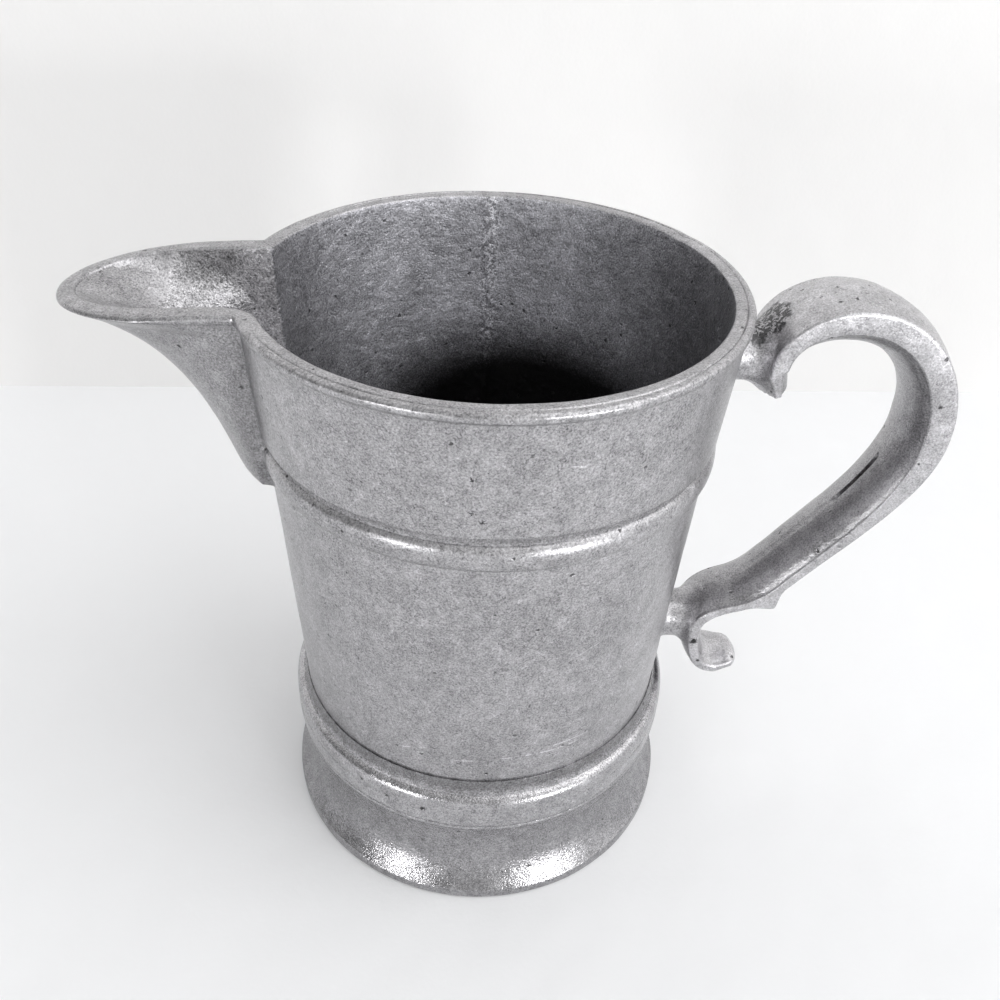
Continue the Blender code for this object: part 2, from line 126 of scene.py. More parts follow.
# Spout
SPOUT_PROJECTION = 25.7
SPOUT_HALF_WIDTH = 13.9
SPOUT_WALL = 3.2
SPOUT_DEPTH = 34.3
SPOUT_DROOP = 1.8
SPOUT_LIP = 3.2
LIP_ROUND = 0.7
SPOUT_NARROWING = 0.064
SPOUT_HEEL = 5.0
HEEL_RISE = 3.7
HEEL_PROUD = 5.0
HEEL_BLUNT = 0.2
HEEL_CURL = 4.2
KEEL_TOP_ANGLE = math.radians(18.9)
KEEL_TOP_PULL = 18.5
KEEL_FOOT_ANGLE = math.radians(63.8)
KEEL_FOOT_PULL = 6.3
NOSE_SHARE = 0.70
NOSE_FADE = 4.2
CHANNEL_FADE = 10.0
CHANNEL_FOOT = JUG_HEIGHT - SPOUT_DEPTH + SPOUT_WALL + HEEL_RISE
CHANNEL_CURL = 9.0
TIP_SCOOP = 1.9
TIP_SMOOTH = 51.5
LIP_BEAD = 0.28
LIP_BEAD_HEIGHT = 1.1
LIP_BEAD_FADE = 0.5

# Seams between the spout and the drum, and the crease across the channel
SPOUT_FAN = math.radians(60.0)
SPOUT_SEAM = 0.06
CHANNEL_SEAM = 0.3
VALLEY_TOP = 0.4
VALLEY = 0.9
VALLEY_RUN = 16.0
NEAR_CORNER = 4.0
FAR_CORNER = 0.5
CREASE_PLACE = 51.2
CREASE_WIDTH = 0.6
CREASE_RISE = 0.3

# Ridge left by the core's joint inside the drum
CORE_SEAM = math.radians(91.7)
CORE_RIDGE = 0.55
CORE_RIDGE_WIDTH = 1.1
CORE_WANDER = 0.6
CORE_WAVE = 9.0

# Rim: distances in from its outer edge, and drops below its top
RIM_OUTER = [(0.03, 0.55), (0.12, 0.36), (0.28, 0.19), (0.5, 0.08), (0.78, 0.02), (0.98, 0.0)]
RIM_GROOVE = [(1.06, 0.06), (1.22, 0.34), (1.38, 0.06)]
RIM_INNER = [(1.5, 0.0), (1.9, 0.0), (2.3, 0.0), (2.6, 0.02), (2.85, 0.1), (3.02, 0.28)]
RIM_GROOVE_START = 22.0
RIM_GROOVE_FADE = 14.0
OUTER_EASE = 0.75
INNER_EASE = 0.5
DENT_PLACE = (33.2, 18.8, JUG_HEIGHT)
DENT_DEPTH = 0.4
DENT_WIDTH = 1.3

# Handle
HANDLE_REACH = 79.1
STRAP_DOME = 1.3
EDGE_RIB = 0.2
RIB_PLACE = 0.95
RIB_WIDTH = 0.035
UPPER_ROOT = JUG_HEIGHT - 12.1
UPPER_NECK = 6.0
LOWER_ROOT = 38.0
LOWER_NECK = 4.9
CURL_DEPTH = 2.6
ARM_ANGLE = math.radians(50.0)
ARM_KNOT = 5
KNUCKLE_PROUD = 3.0
KNUCKLE_RUN = 4.5
KNUCKLE_PAST = 0.8
KNUCKLE_BLUNT = 0.08
SLIT_TOP = 76.5
SLIT_FOOT = 65.8
SLIT_DEPTH = 2.6
SLIT_FADE = 2.5
SLIT_HALF_TURN = 0.06
SEAM_FOOT = 48.0
SEAM_DEPTH = 0.12
SEAM_FADE = 3.0
HOOK_ROUND = 0.9
TAIL_ROUND = 2.7
END_ANGLES = (20, 38, 54, 68, 79, 86)
NECK_RADIUS = 4.7
NECK_FLARE = 2.1
NECK_SKIRT = 0.3
NECK_SINK = 0.25
NECK_OVERLAP = 0.03
STRAP_SINK = 0.5
RAY_PAST = 4.0
LIMIT_STEP = 0.15
UPPER_FLARE = 2.1
UPPER_BEARD = 3.6
LOWER_FLARE = 2.0
LOWER_BEARD = 1.0

# Unevenness of the casting, as (height, size)
CUP_LUMPS = ((0.05, 6.0), (0.012, 1.8))
FOOT_LUMPS = ((0.05, 6.0),)
STRAP_LUMPS = ((0.08, 5.0),)

# Fineness
FAN_RUNS = ((0.0, 13.0, 40), (13.0, 26.0, 66), (26.0, 84.0, 76), (84.0, 97.0, 40), (97.0, 180.0, 104))
EDGE_POINTS = 160
TURN_STEPS = 480
NECK_POINTS = 96
NECK_RINGS = 12
RUN_STEP = 0.8
BORE_STEP = 1.0
CHANNEL_STEP = 0.6
DISC_STEP = 3.0
STRAP_STEPS = 22
BACK_STEPS = 31
SIDE_STEPS = 9
LEDGE_STEPS = 5
BEAD_STEPS = 29
EASE_PASSES = 12
SHARP_ANGLE = math.radians(40.0)
MERGE_DISTANCE = 0.0005
AXIS_HOLE = 0.01

# Marks on the metal, and shade painted on it. A stain, pit or patch of painted shade darkens to its least
# share within low millimetres of its centre, and ends at high ones. Its stretch scales the distance along each
# axis.
StainOrShade = namedtuple("StainOrShade", "centre stretch low high least ragged")
Scratch = namedtuple("Scratch", "start end height slope strength")
EVEN = (1.0, 1.0, 1.0)
TALL = (1.0, 1.0, 0.4)
UPRIGHT = (1.0, 1.0, 0.12)
ALL_ROUND = (0.0, 0.0, 1.0)
# Painted shade in the bore: a black pool low on its far wall, and darker right and left walls.
BORE_PAINTED_SHADE = [
    StainOrShade((13.0, 35.0, 65.0), (0.65, 0.6, 1.5), 15.0, 37.0, 0.0, 6.0),
    StainOrShade((40.0, 2.0, 80.0), TALL, 10.0, 44.0, 0.3, 8.0),
    StainOrShade((-40.0, 8.0, 80.0), TALL, 6.0, 34.0, 0.4, 8.0),
]
# Painted shade on the upper far wall of the spout's channel.
CHANNEL_PAINTED_SHADE = [StainOrShade((-47.0, 12.0, 109.0), EVEN, 5.5, 8.5, 0.55, 2.0)]
# Painted shade in the valleys where the spout's sides meet the drum.
SPOUT_VALLEY_PAINTED_SHADE = [StainOrShade((-36.3, side, 92.0), UPRIGHT, 0.8, 6.0, 0.68, 2.0) for side in (-12.8, 12.8)]
DRUM_PITS = ((-4.3, -38.5, 97.9), (-4.2, -38.1, 92.1), (-2.8, -38.1, 90.5))
# Small dark pits, and rings of painted shade in the groove under the band and in the hollow below its top edge.
DRUM_PITS_AND_PAINTED_SHADE = [StainOrShade(place, EVEN, 0.1, 0.5, 0.25, 1.6) for place in DRUM_PITS] + [
    StainOrShade((0.0, 0.0, BAND_FOOT - 0.1), ALL_ROUND, 0.1, 0.5, 0.6, 0.4),
    StainOrShade((0.0, 0.0, BAND_TOP - 0.8), ALL_ROUND, 0.3, 1.2, 0.74, 0.8),
]
FOOT_PITS = ((-17.8, -32.1, 24.1), (-11.5, -35.0, 23.9))
# Small dark pits, and a ring of painted shade in the crevice between the drum and the torus.
FOOT_PITS_AND_PAINTED_SHADE = [StainOrShade(place, EVEN, 0.15, 0.65, 0.15, 1.8) for place in FOOT_PITS] + [
    StainOrShade((0.0, 0.0, TORUS_TOP - 0.4), ALL_ROUND, 0.9, 2.7, 0.55, 1.4),
]
CURL_CRACK = [StainOrShade((41.6, -5.8, 35.3), EVEN, 0.5, 1.1, 0.1, 1.5)]
FOLDED_ROOT = (41.5, 0.5, 104.2)
DRUM_SCRATCHES = [
    Scratch(-3.0, 16.0, 37.1, 0.0, 0.7),
    Scratch(-18.0, -10.0, 35.6, 0.4, 0.7),
    Scratch(-7.0, -1.0, 36.2, 0.05, 0.7),
    Scratch(9.0, 18.0, 38.3, 0.02, 0.7),
    Scratch(8.3, 11.0, 99.8, -0.15, 0.8),
    Scratch(17.6, 18.9, 91.6, 2.1, -0.5),
    Scratch(-22.0, -17.0, 100.0, 0.3, 0.5),
    Scratch(-8.0, -3.5, 89.8, -0.25, -0.3),
    Scratch(12.0, 19.0, 60.0, 0.35, 0.4),
    Scratch(-12.0, -6.0, 70.0, -0.2, 0.35),
]

# Metal: sizes of its features in millimetres, and its tints
GRAIN_SIZE = 0.3
LUMP_SIZE = 1.7
CLOUD_SIZE = 13.0
BLOTCH_SIZE = 4.0
PIT_SPACING = 2.2
PIT_WARP_SIZE = 0.7
PIT_WARP = 0.8
BRIGHT_HAIR_SIZE = 1.3
DARK_HAIR_SIZE = 1.7
LONG_SCRATCH = 4.0
SCRATCH_TAPER = 2.0
SCRATCH_CORE = 0.05
SCRATCH_EDGE = 0.2
SCRATCH_WAVE = 6.0
SCRATCH_WANDER = 0.5
ROOT_PATCH = 5.6
ROOT_PATCH_EDGE = 6.4
ROOT_RAGGED = 3.0
SEAM_STRIP = 1.5
SEAM_STRIP_EDGE = 3.6
SEAM_RAGGED = 2.0
SEAM_SPECK_SIZE = 0.6
COOL_GREY = (1.0, 0.988, 1.018)
BLUE_GREY = (1.0, 0.995, 1.06)

# Camera, fitted to the photograph's rim, foot and spout: place in mouth radii, angles in degrees
CAMERA_PLACE = (0.0, -3.510, 4.269)
CAMERA_PITCH = math.radians(36.72)
CAMERA_ROLL = math.radians(2.70)
CAMERA_YAW = math.radians(1.03)
CAMERA_AROUND = math.radians(-3.6)
CAMERA_LENS = 34.92
CAMERA_SENSOR = 36.0
CAMERA_CLIP = 0.01

# Stage and lights, in metres and watts. The cloth lies just under the uneven land of the foot.
CLOTH_LEVEL = -0.00006
STAGE_REACH = 3.0
CLOTH_BACK = 0.153
WALL_LEFT = 0.1575
WALL_RIGHT = 0.1475
WALL_FOOT = -0.01
CLOTH_COLOUR = (0.895, 0.90, 0.91)
WALL_COLOUR = (0.825, 0.82, 0.815)
LIGHT_AIM = (0.0, 0.0, 0.05)
LIGHTS = (
    ("window", (0.9, -0.1, 1.0), (1.6, 1.6), 7.9),
    ("left_lamp", (-0.58, -0.69, 0.09), (0.11, 0.17), 1.5),
    ("right_lamp", (0.50, -0.75, 0.09), (0.13, 0.17), 2.1),
)
SKY_SPREAD = 0.9
SKY_SPOUT_SIDE = 0.24
SKY_HANDLE_SIDE = 1.12
SKY_ABOVE = 0.24


def bezier(start, start_pull, end_pull, end, steps):
    """Points of a plane cubic curve, both ends included."""
    t = np.linspace(0.0, 1.0, steps + 1)[:, None]
    first, second, third, last = (np.asarray(knot, float) for knot in (start, start_pull, end_pull, end))
    curve = (1 - t) ** 3 * first + 3 * t * (1 - t) ** 2 * second + 3 * t**2 * (1 - t) * third + t**3 * last
    return [tuple(point) for point in curve]


def polar(point, angle, length):
    return (point[0] + length * math.cos(angle), point[1] + length * math.sin(angle))


def moved(corner, moves):
    """Points that lie (out, down) from a corner."""
    return [(corner[0] + out, corner[1] - down) for out, down in moves]


def fine(points, step):
    """Add points to an outline so that none of its runs is longer than a step."""
    result = [points[0]]
    for low, high in zip(points, points[1:]):
        count = max(1, math.ceil(math.dist(low, high) / step))
        for i in range(1, count + 1):
            share = i / count
            result.append((low[0] + share * (high[0] - low[0]), low[1] + share * (high[1] - low[1])))
    return result


def smooth(value):
    value = np.clip(value, 0.0, 1.0)
    return value * value * (3.0 - 2.0 * value)


def quarter(value):
    """Rise of a quarter circle, from 0 to 1."""
    return math.sqrt(max(1.0 - (1.0 - min(max(value, 0.0), 1.0)) ** 2, 0.0))


def noise_at(x, y, z):
    return relief.noise(Vector((x, y, z)))


def mesh_object(name, points, faces):
    """Make an object from millimetre points on the drum's axis."""
    points = (np.asarray(points, float) + (AXIS_X, 0.0, 0.0)) * MM
    mesh = bpy.data.meshes.new(name)
    mesh.from_pydata([tuple(point) for point in points], [], faces)
    work = bmesh.new()
    work.from_mesh(mesh)
    bmesh.ops.remove_doubles(work, verts=work.verts, dist=MERGE_DISTANCE * MM)
    bmesh.ops.recalc_face_normals(work, faces=work.faces)
    work.to_mesh(mesh)
    work.free()
    mesh.shade_smooth()
    mesh.set_sharp_from_angle(angle=SHARP_ANGLE)
    item = bpy.data.objects.new(name, mesh)
    bpy.context.collection.objects.link(item)
    return item


def grid_faces(rows, columns):
    """Quads between the closed rows of a grid of points."""
    faces = []
    for i in range(rows - 1):
        for j in range(columns):
            k = (j + 1) % columns
            faces.append((i * columns + j, i * columns + k, (i + 1) * columns + k, (i + 1) * columns + j))
    return faces


def closing_faces(rows, columns):
    """Quads from the last closed row of a grid back to the first one."""
    last = (rows - 1) * columns
    return [(last + j, last + (j + 1) % columns, (j + 1) % columns, j) for j in range(columns)]


def turned(name, outline):
    """Revolve a closed (radius, height) outline about the drum's axis."""
    turn = np.linspace(0.0, 2 * math.pi, TURN_STEPS, endpoint=False)
    radius = np.array([point[0] for point in outline])[:, None]
    height = np.array([point[1] for point in outline])[:, None]
    points = np.stack([radius * np.cos(turn), radius * np.sin(turn), height + 0 * turn], axis=2)
    faces = grid_faces(len(outline), TURN_STEPS) + closing_faces(len(outline), TURN_STEPS)
    return mesh_object(name, points.reshape(-1, 3), faces)


def lofted(name, rings):
    """Skin a row of closed rings with equal point counts, and cap both ends."""
    rings = np.asarray(rings, float)
    rows, columns = rings.shape[:2]
    faces = grid_faces(rows, columns)
    faces.append(tuple(range(columns)))
    faces.append(tuple(range((rows - 1) * columns, rows * columns)))
    return mesh_object(name, rings.reshape(-1, 3), faces)


def places(item):
    """An object's points, in millimetres on the drum's axis."""
    flat = np.empty(len(item.data.vertices) * 3)
    item.data.vertices.foreach_get("co", flat)
    return flat.reshape(-1, 3) / MM - (AXIS_X, 0.0, 0.0)


def put(item, points):
    item.data.vertices.foreach_set("co", ((points + (AXIS_X, 0.0, 0.0)) * MM).ravel())
    item.data.update()


def roughen(item, lumps):
    """Move an object's points along their normals by lumps of some heights and sizes."""
    for height, size in lumps:
        points = places(item)
        normals = np.empty(len(points) * 3)
        item.data.vertices.foreach_get("normal", normals)
        rise = np.array([noise_at(*(point / size)) for point in points]) * height
        put(item, points + rise[:, None] * normals.reshape(-1, 3))


def drum_radius(height):
    upper_foot = MOUTH_RADIUS - COLLAR_PROUD - UPPER_TAPER * (COLLAR_FOOT - BAND_TOP)
    if height >= BAND_TOP:
        return upper_foot + UPPER_TAPER * (height - BAND_TOP)
    return upper_foot - BAND_STEP - LOWER_TAPER * (BAND_FOOT - height)


def bore_radius(height):
    mouth = MOUTH_RADIUS - MOUTH_WALL
    floor = drum_radius(DRUM_FOOT) - DRUM_WALL
    return floor + (mouth - floor) * (height - DRUM_FOOT) / (JUG_HEIGHT - DRUM_FOOT)


def drum_outside():
    """Outer outline of the drum from under its rim down to its foot."""
    collar = (MOUTH_RADIUS, JUG_HEIGHT - COLLAR_HEIGHT)
    wall = drum_radius(BAND_FOOT)
    crown = (wall + BAND_PROUD, BAND_MIDDLE)
    points = [(MOUTH_RADIUS, JUG_HEIGHT - OUTER_EASE)]
    points += moved(collar, COLLAR_EDGE)
    points += bezier(*moved(collar, COLLAR_CURVE), 5)
    points += [(MOUTH_RADIUS - COLLAR_PROUD, COLLAR_FOOT)]
    points += moved((drum_radius(BAND_TOP), BAND_TOP), BAND_ARRIS)
    points += moved((wall, BAND_TOP), BAND_HOLLOW)
    points += bezier(*moved((wall, BAND_TOP), BAND_RISE), *moved(crown, CROWN_ABOVE), 12)
    points += bezier(*moved(crown, CROWN_BELOW), *moved((wall, BAND_FOOT), BAND_FALL), 10)
    points += moved((wall - LOWER_TRIM, BAND_FOOT), BAND_CORNER)
    points += [(drum_radius(DRUM_FOOT) - LOWER_TRIM, DRUM_FOOT)]
    return points


OUTSIDE = drum_outside()
OUTSIDE_HEIGHTS = np.array([point[1] for point in OUTSIDE])[::-1]
OUTSIDE_RADII = np.array([point[0] for point in OUTSIDE])[::-1]


def outside_radius(height):
    return np.interp(height, OUTSIDE_HEIGHTS, OUTSIDE_RADII)


def keel_line(wall):
    """The spout's (distance, height) profile under its middle, from the lip down, moved inwards by a wall."""
    heel_height = JUG_HEIGHT - SPOUT_DEPTH + HEEL_RISE
    heel = (drum_radius(heel_height) + HEEL_PROUD, heel_height)
    top = (MOUTH_RADIUS + SPOUT_PROJECTION - LIP_ROUND, JUG_HEIGHT - SPOUT_LIP)
    top_pull = polar(top, KEEL_TOP_ANGLE + math.pi, KEEL_TOP_PULL)
    heel_pull = polar(heel, KEEL_FOOT_ANGLE, KEEL_FOOT_PULL)
    line = np.array(bezier(top, top_pull, heel_pull, heel, 40))
    run = np.gradient(line, axis=0)
    run /= np.linalg.norm(run, axis=1)[:, None]
    return line + wall * np.stack([run[:, 1], -run[:, 0]], axis=1)


def droop(distance, level):
    """How far the spout hangs at a distance from the axis, less at lower levels."""
    run = np.maximum(distance - MOUTH_RADIUS, 0.0) / SPOUT_PROJECTION
    fade = max(1.0 - max(JUG_HEIGHT - level, 0.0) / SPOUT_DEPTH, 0.0)
    return SPOUT_DROOP * run**1.5 * fade


def spout_reach(level, wall):
    """Distance of the spout's nose from the axis at a level, before its heel curls in."""
    keel = keel_line(wall)[::-1]
    lip_foot = JUG_HEIGHT - SPOUT_LIP
    if level <= lip_foot:
        return np.interp(level, keel[:, 1], keel[:, 0])
    tip = MOUTH_RADIUS + SPOUT_PROJECTION - wall
    low = min(np.interp(lip_foot, keel[:, 1], keel[:, 0]), tip)
    rise = min((level - lip_foot) / SPOUT_LIP, 1.0)
    if wall > 0.0:
        return low + (tip + TIP_SCOOP - low) * rise**1.2
    return low + (tip - low) * (1.0 - (1.0 - rise) ** 2)


def spout_edge(level, wall, ground, foot, curl, spread):
    """Half of the spout's outline at a level, tip first: angles from its middle, radii and slants."""
    depth = max(JUG_HEIGHT - level, 0.0)
    reach = spout_reach(level, wall)
    reach = ground + (reach - ground) * quarter((level - foot) / curl) + spread
    width = SPOUT_HALF_WIDTH - wall - SPOUT_NARROWING * depth
    width = width * max(quarter((level - foot) / SPOUT_HEEL), HEEL_BLUNT) + spread
    blunt = 1.0 - float(smooth(depth / (CHANNEL_FADE if wall > 0.0 else NOSE_FADE)))
    nose = (1.0 - (1.0 - NOSE_SHARE) * blunt) * max(reach - drum_radius(level), SPOUT_WALL)
    turn = np.linspace(math.pi / 2, 0.0, EDGE_POINTS)
    bulge = blunt * np.sin(turn) + (1.0 - blunt) * np.sin(turn) ** 2
    straight = np.linspace(reach - nose, 1.0, EDGE_POINTS)[1:]
    distance = np.concatenate([reach - nose + nose * bulge, straight])
    across = np.concatenate([width * np.cos(turn), 0 * straight + width])
    radius = np.hypot(distance, across)
    along = np.gradient(distance)
    aside = np.gradient(across)
    length = np.maximum(np.hypot(along, aside), 1e-9)
    slant = np.abs(distance * aside - across * along) / (radius * length)
    return np.arctan2(across, distance), radius, np.clip(slant, 0.05, 1.0)


def soft_union(ground, edge, slant, blend):
    """Radii of a circle joined to a polar edge by a soft corner."""
    radius = np.maximum(ground, edge)
    for _ in range(14):
        circle = radius - ground
        side = (radius - edge) * slant
        share = np.clip(0.5 + 0.5 * (side - circle) / blend, 0.0, 1.0)
        value = side + share * (circle - side) - blend * share * (1.0 - share)
        radius = radius - value / (share + (1.0 - share) * slant)
    return radius


def fan():
    """Angles of a cup ring's points from the middle of the spout, densest at the spout's seams."""
    half = [np.linspace(low, high, count, endpoint=False) for low, high, count in FAN_RUNS]
    half = np.radians(np.concatenate([*half, [180.0]]))
    return np.concatenate([-half[-2:0:-1], half])


FAN = fan()


def cup_ring(level, wall, ground, foot, curl, spread, blend):
    """A closed ring of the cup's inside or outside, spout included."""
    radii = np.full(len(FAN), float(ground))
    if level > foot:
        angles, edge, slant = spout_edge(level, wall, ground, foot, curl, spread)
        off = np.abs(FAN)
        here = off < SPOUT_FAN
        edge = np.where(here, np.interp(off, angles, edge), 0.0)
        slant = np.where(here, np.interp(off, angles, slant), 1.0)
        radii = soft_union(ground, edge, slant, blend)
    distance = radii * np.cos(FAN)
    return np.stack([-distance, radii * np.sin(FAN), level - droop(distance, level)], axis=1)


def outer_ring(level):
    depth = JUG_HEIGHT - level
    foot = JUG_HEIGHT - SPOUT_DEPTH
    bump = HEEL_PROUD * quarter((level - foot) / HEEL_CURL)
    blend = VALLEY_TOP + (VALLEY - VALLEY_TOP) * float(smooth(depth / VALLEY_RUN))
    blend = max(min(blend, 0.9 * bump), 0.01)
    spread = LIP_BEAD * (1.0 - float(smooth((depth - LIP_BEAD_HEIGHT) / LIP_BEAD_FADE)))
    return cup_ring(level, 0.0, outside_radius(level), foot, HEEL_CURL, spread, blend)


def inner_ring(level):
    """A ring of the bore and the channel, with the ragged core ridge and the crease across the channel."""
    blend = np.where(FAN < 0.0, NEAR_CORNER, FAR_CORNER)
    ring = cup_ring(level, SPOUT_WALL, bore_radius(level), CHANNEL_FOOT, CHANNEL_CURL, 0.0, blend)
    wander = CORE_WANDER * noise_at(0.0, 0.0, level / CORE_WAVE)
    away = bore_radius(level) * (FAN - CORE_SEAM) - wander
    ragged = np.array([0.75 + 0.9 * noise_at(arc / 0.9, 7.0, level / 1.1) for arc in away])
    ridge = 1.0 - CORE_RIDGE * np.exp(-((away / CORE_RIDGE_WIDTH) ** 2)) * ragged / bore_radius(level)
    ring[:, :2] *= ridge[:, None]
    crease = np.exp(-(((ring[:, 0] + CREASE_PLACE) / CREASE_WIDTH) ** 2)) * (ring[:, 1] > 0.0)
    ring[:, 1] -= CREASE_RISE * crease
    return ring


def rim_rings(inner, outer):
    """Rings over the rim, from its inner edge to its outer one."""
    off = np.degrees(np.abs(FAN))
    uneven = np.array([0.75 + 0.45 * noise_at(9.0 * angle, 3.0, 0.0) for angle in FAN])
    depth = smooth((off - RIM_GROOVE_START) / RIM_GROOVE_FADE) * uneven
    rings = []
    for inset, drop in (RIM_OUTER + RIM_GROOVE + RIM_INNER)[::-1]:
        share = inset / MOUTH_WALL
        place = outer + share * (inner - outer)
        lower = drop * depth if (inset, drop) in RIM_GROOVE else drop
        place[:, 2] = JUG_HEIGHT - droop(-place[:, 0], JUG_HEIGHT) - lower
        rings.append(place)
    return rings


def outer_levels():
    """Heights of the cup's outer rings, from the top down."""
    heel = JUG_HEIGHT - SPOUT_DEPTH
    levels = [point[1] for point in fine(OUTSIDE, RUN_STEP)]
    levels = [level for level in levels if not heel - 0.4 < level < heel + HEEL_CURL]
    levels += list(heel + HEEL_CURL * (1.0 - np.cos(np.linspace(0.0, math.pi / 2, 12))))
    return sorted(levels, reverse=True)


def inner_levels():
    """Heights of the cup's inner rings, from the bottom up."""
    levels = list(np.arange(DRUM_FOOT, CHANNEL_FOOT - 0.2, BORE_STEP))
    levels += list(CHANNEL_FOOT + CHANNEL_CURL * (1.0 - np.cos(np.linspace(0.0, math.pi / 2, 16))))
    top = JUG_HEIGHT - INNER_EASE
    levels += list(np.arange(CHANNEL_FOOT + CHANNEL_CURL + CHANNEL_STEP, top, CHANNEL_STEP))
    return [*levels, top]


def make_cup():
    """The drum and its spout in one skin.

    Faces get slot 1 in the bore, 2 in the spout's channel, 3 on the spout's outside and 0 elsewhere.
    """
    inside = inner_levels()
    outside = outer_levels()
    inner = [inner_ring(level) for level in inside]
    outer = [outer_ring(level) for level in outside]
    rings = np.array(inner + rim_rings(inner[-1], outer[0]) + outer)
    rows, columns = rings.shape[:2]
    faces = grid_faces(rows, columns) + closing_faces(rows, columns)
    cup = mesh_object("cup_body", rings.reshape(-1, 3), faces)
    slots = np.zeros((rows, columns), int)
    reach = np.hypot(rings[:, :, 0], rings[:, :, 1])
    bores = np.array([bore_radius(level) for level in inside])[:, None]
    walls = np.array([outside_radius(level) for level in outside])[:, None]
    channel = np.where(reach[:len(inner)] > TIP_SMOOTH, 0, 2)
    slots[:len(inner)] = np.where(reach[:len(inner)] > bores + CHANNEL_SEAM, channel, 1)
    slots[-len(outer):] = np.where(reach[-len(outer):] > walls + SPOUT_SEAM, 3, 0)
    cup.data.polygons.foreach_set("material_index", slots.ravel())
    points = places(cup)
    away = np.linalg.norm(points - DENT_PLACE, axis=1)
    points[:, 2] -= DENT_DEPTH * np.exp(-((away / DENT_WIDTH) ** 2))
    put(cup, points)
    return cup


def strap_knots():
    """Points that the strap's edge passes, with heading and section: half width, side, half bead, depth."""
    shoulder = (drum_radius(UPPER_ROOT) + UPPER_NECK, UPPER_ROOT)
    curl = (drum_radius(LOWER_ROOT) + LOWER_NECK + CURL_DEPTH, LOWER_ROOT)
    arm_foot = (curl[0] + 13.7, curl[1] + 10.8)
    down_arm = ARM_ANGLE - math.pi
    under = (curl[0] + 5.0, curl[1] - 10.6)
    return [
        ((shoulder[0] + 2.2, JUG_HEIGHT - 18.0), math.radians(106), (5.2, 1.0, 4.4, 3.1)),
        (shoulder, math.radians(88), (7.0, 2.8, 5.6, 5.0)),
        ((shoulder[0] + 12.5, JUG_HEIGHT - 2.0), 0.0, (7.0, 3.8, 6.3, 7.0)),
        ((HANDLE_REACH - STRAP_DOME, JUG_HEIGHT - 25.1), -math.pi / 2, (7.0, 4.4, 6.5, 6.6)),
        (polar(arm_foot, ARM_ANGLE, 17.0), down_arm, (6.9, 2.0, 6.4, 4.9)),
        (arm_foot, down_arm, (6.8, 1.6, 6.3, 4.6)),
        ((curl[0] + 6.0, curl[1] + 5.6), math.radians(-165), (6.3, 1.5, 5.6, 3.7)),
        (curl, math.radians(-92), (5.8, 1.9, 4.8, CURL_DEPTH)),
        (under, math.radians(-6), (5.4, 1.6, 4.0, 2.1)),
        ((under[0] + 2.6, under[1]), math.radians(6), (4.6, 1.2, 3.2, 1.7)),
    ]


def strap_stations():
    """Places along the strap, each a (point, heading, section)."""
    stations = []
    knots = strap_knots()
    for (start, from_heading, from_size), (end, to_heading, to_size) in zip(knots, knots[1:]):
        turn = abs(math.remainder(to_heading - from_heading, 2 * math.pi))
        pull = math.dist(start, end) / 3
        if turn > math.radians(3):
            pull *= 2 * math.tan(turn / 4) / math.sin(turn / 2)
        pulls = (polar(start, from_heading, pull), polar(end, to_heading, -pull))
        points = np.array(bezier(start, *pulls, end, STRAP_STEPS))
        run = np.gradient(points, axis=0)
        for i in range(STRAP_STEPS):
            heading = from_heading if i == 0 else math.atan2(run[i][1], run[i][0])
            share = i / STRAP_STEPS
            share = 0.5 * share + 0.5 * float(smooth(share))
            size = [low + share * (high - low) for low, high in zip(from_size, to_size)]
            stations.append((tuple(points[i]), heading, size))
    stations.append(knots[-1])
    return stations


def strap_outline(size, swell):
    """Section of the strap as (across, deep) points: a domed back, flat sides and a half-round bead."""
    half_width, side, bead, depth = size
    across = np.sin(np.linspace(-math.pi / 2, math.pi / 2, BACK_STEPS))
    full = min(half_width / 4.0, 1.0)
    rib = EDGE_RIB * np.exp(-(((np.abs(across) - RIB_PLACE) / RIB_WIDTH) ** 2))
    dome = np.stack([across * half_width, -full * (STRAP_DOME * (1 - across**2) + rib) - swell], axis=1)
    right = np.stack([np.full(SIDE_STEPS, half_width), np.linspace(0.0, side, SIDE_STEPS + 1)[1:]], axis=1)
    ledge_across = np.linspace(half_width, bead, LEDGE_STEPS + 2)[1:-1]
    ledge = np.stack([ledge_across, np.full(LEDGE_STEPS, side)], axis=1)
    slit_sides = [math.pi / 2 - SLIT_HALF_TURN, math.pi / 2 + SLIT_HALF_TURN]
    turn = np.sort(np.append(np.linspace(0.0, math.pi, BEAD_STEPS), slit_sides))
    rise = 0.5 * np.sin(turn) ** 0.9 + 0.5 * np.sin(turn) ** 2
    round_bead = np.stack([bead * np.cos(turn), side + (depth - side) * rise], axis=1)
    mirror = (-1, 1)
    outline = np.concatenate([dome, right, ledge, round_bead, ledge[::-1] * mirror, right[::-1] * mirror])
    ease = np.where(outline[:, 1] > 0.3 * side, 0.5, 0.05)[:, None]
    for _ in range(EASE_PASSES):
        between = 0.5 * np.roll(outline, 1, axis=0) + 0.5 * np.roll(outline, -1, axis=0)
        outline = outline + ease * (between - outline)
    return outline


def slit(height):
    """Depth of the open seam along the bead at a height."""
    top = smooth((SLIT_TOP - height) / SLIT_FADE)
    opened = float(smooth((height - SLIT_FOOT) / SLIT_FADE) * top)
    closed = float(smooth((height - SEAM_FOOT) / SEAM_FADE) * top)
    return SLIT_DEPTH * opened + SEAM_DEPTH * closed


def rounded_end(ring, heading, length):
    """Rings that close a strap with a round end past its last ring."""
    ring = np.asarray(ring)
    middle = ring.mean(axis=0)
    ahead = np.array((math.cos(heading), 0.0, math.sin(heading)))
    rings = []
    for angle in np.radians(END_ANGLES):
        rings.append(middle + (ring - middle) * math.cos(angle) + ahead * length * math.sin(angle))
    return rings


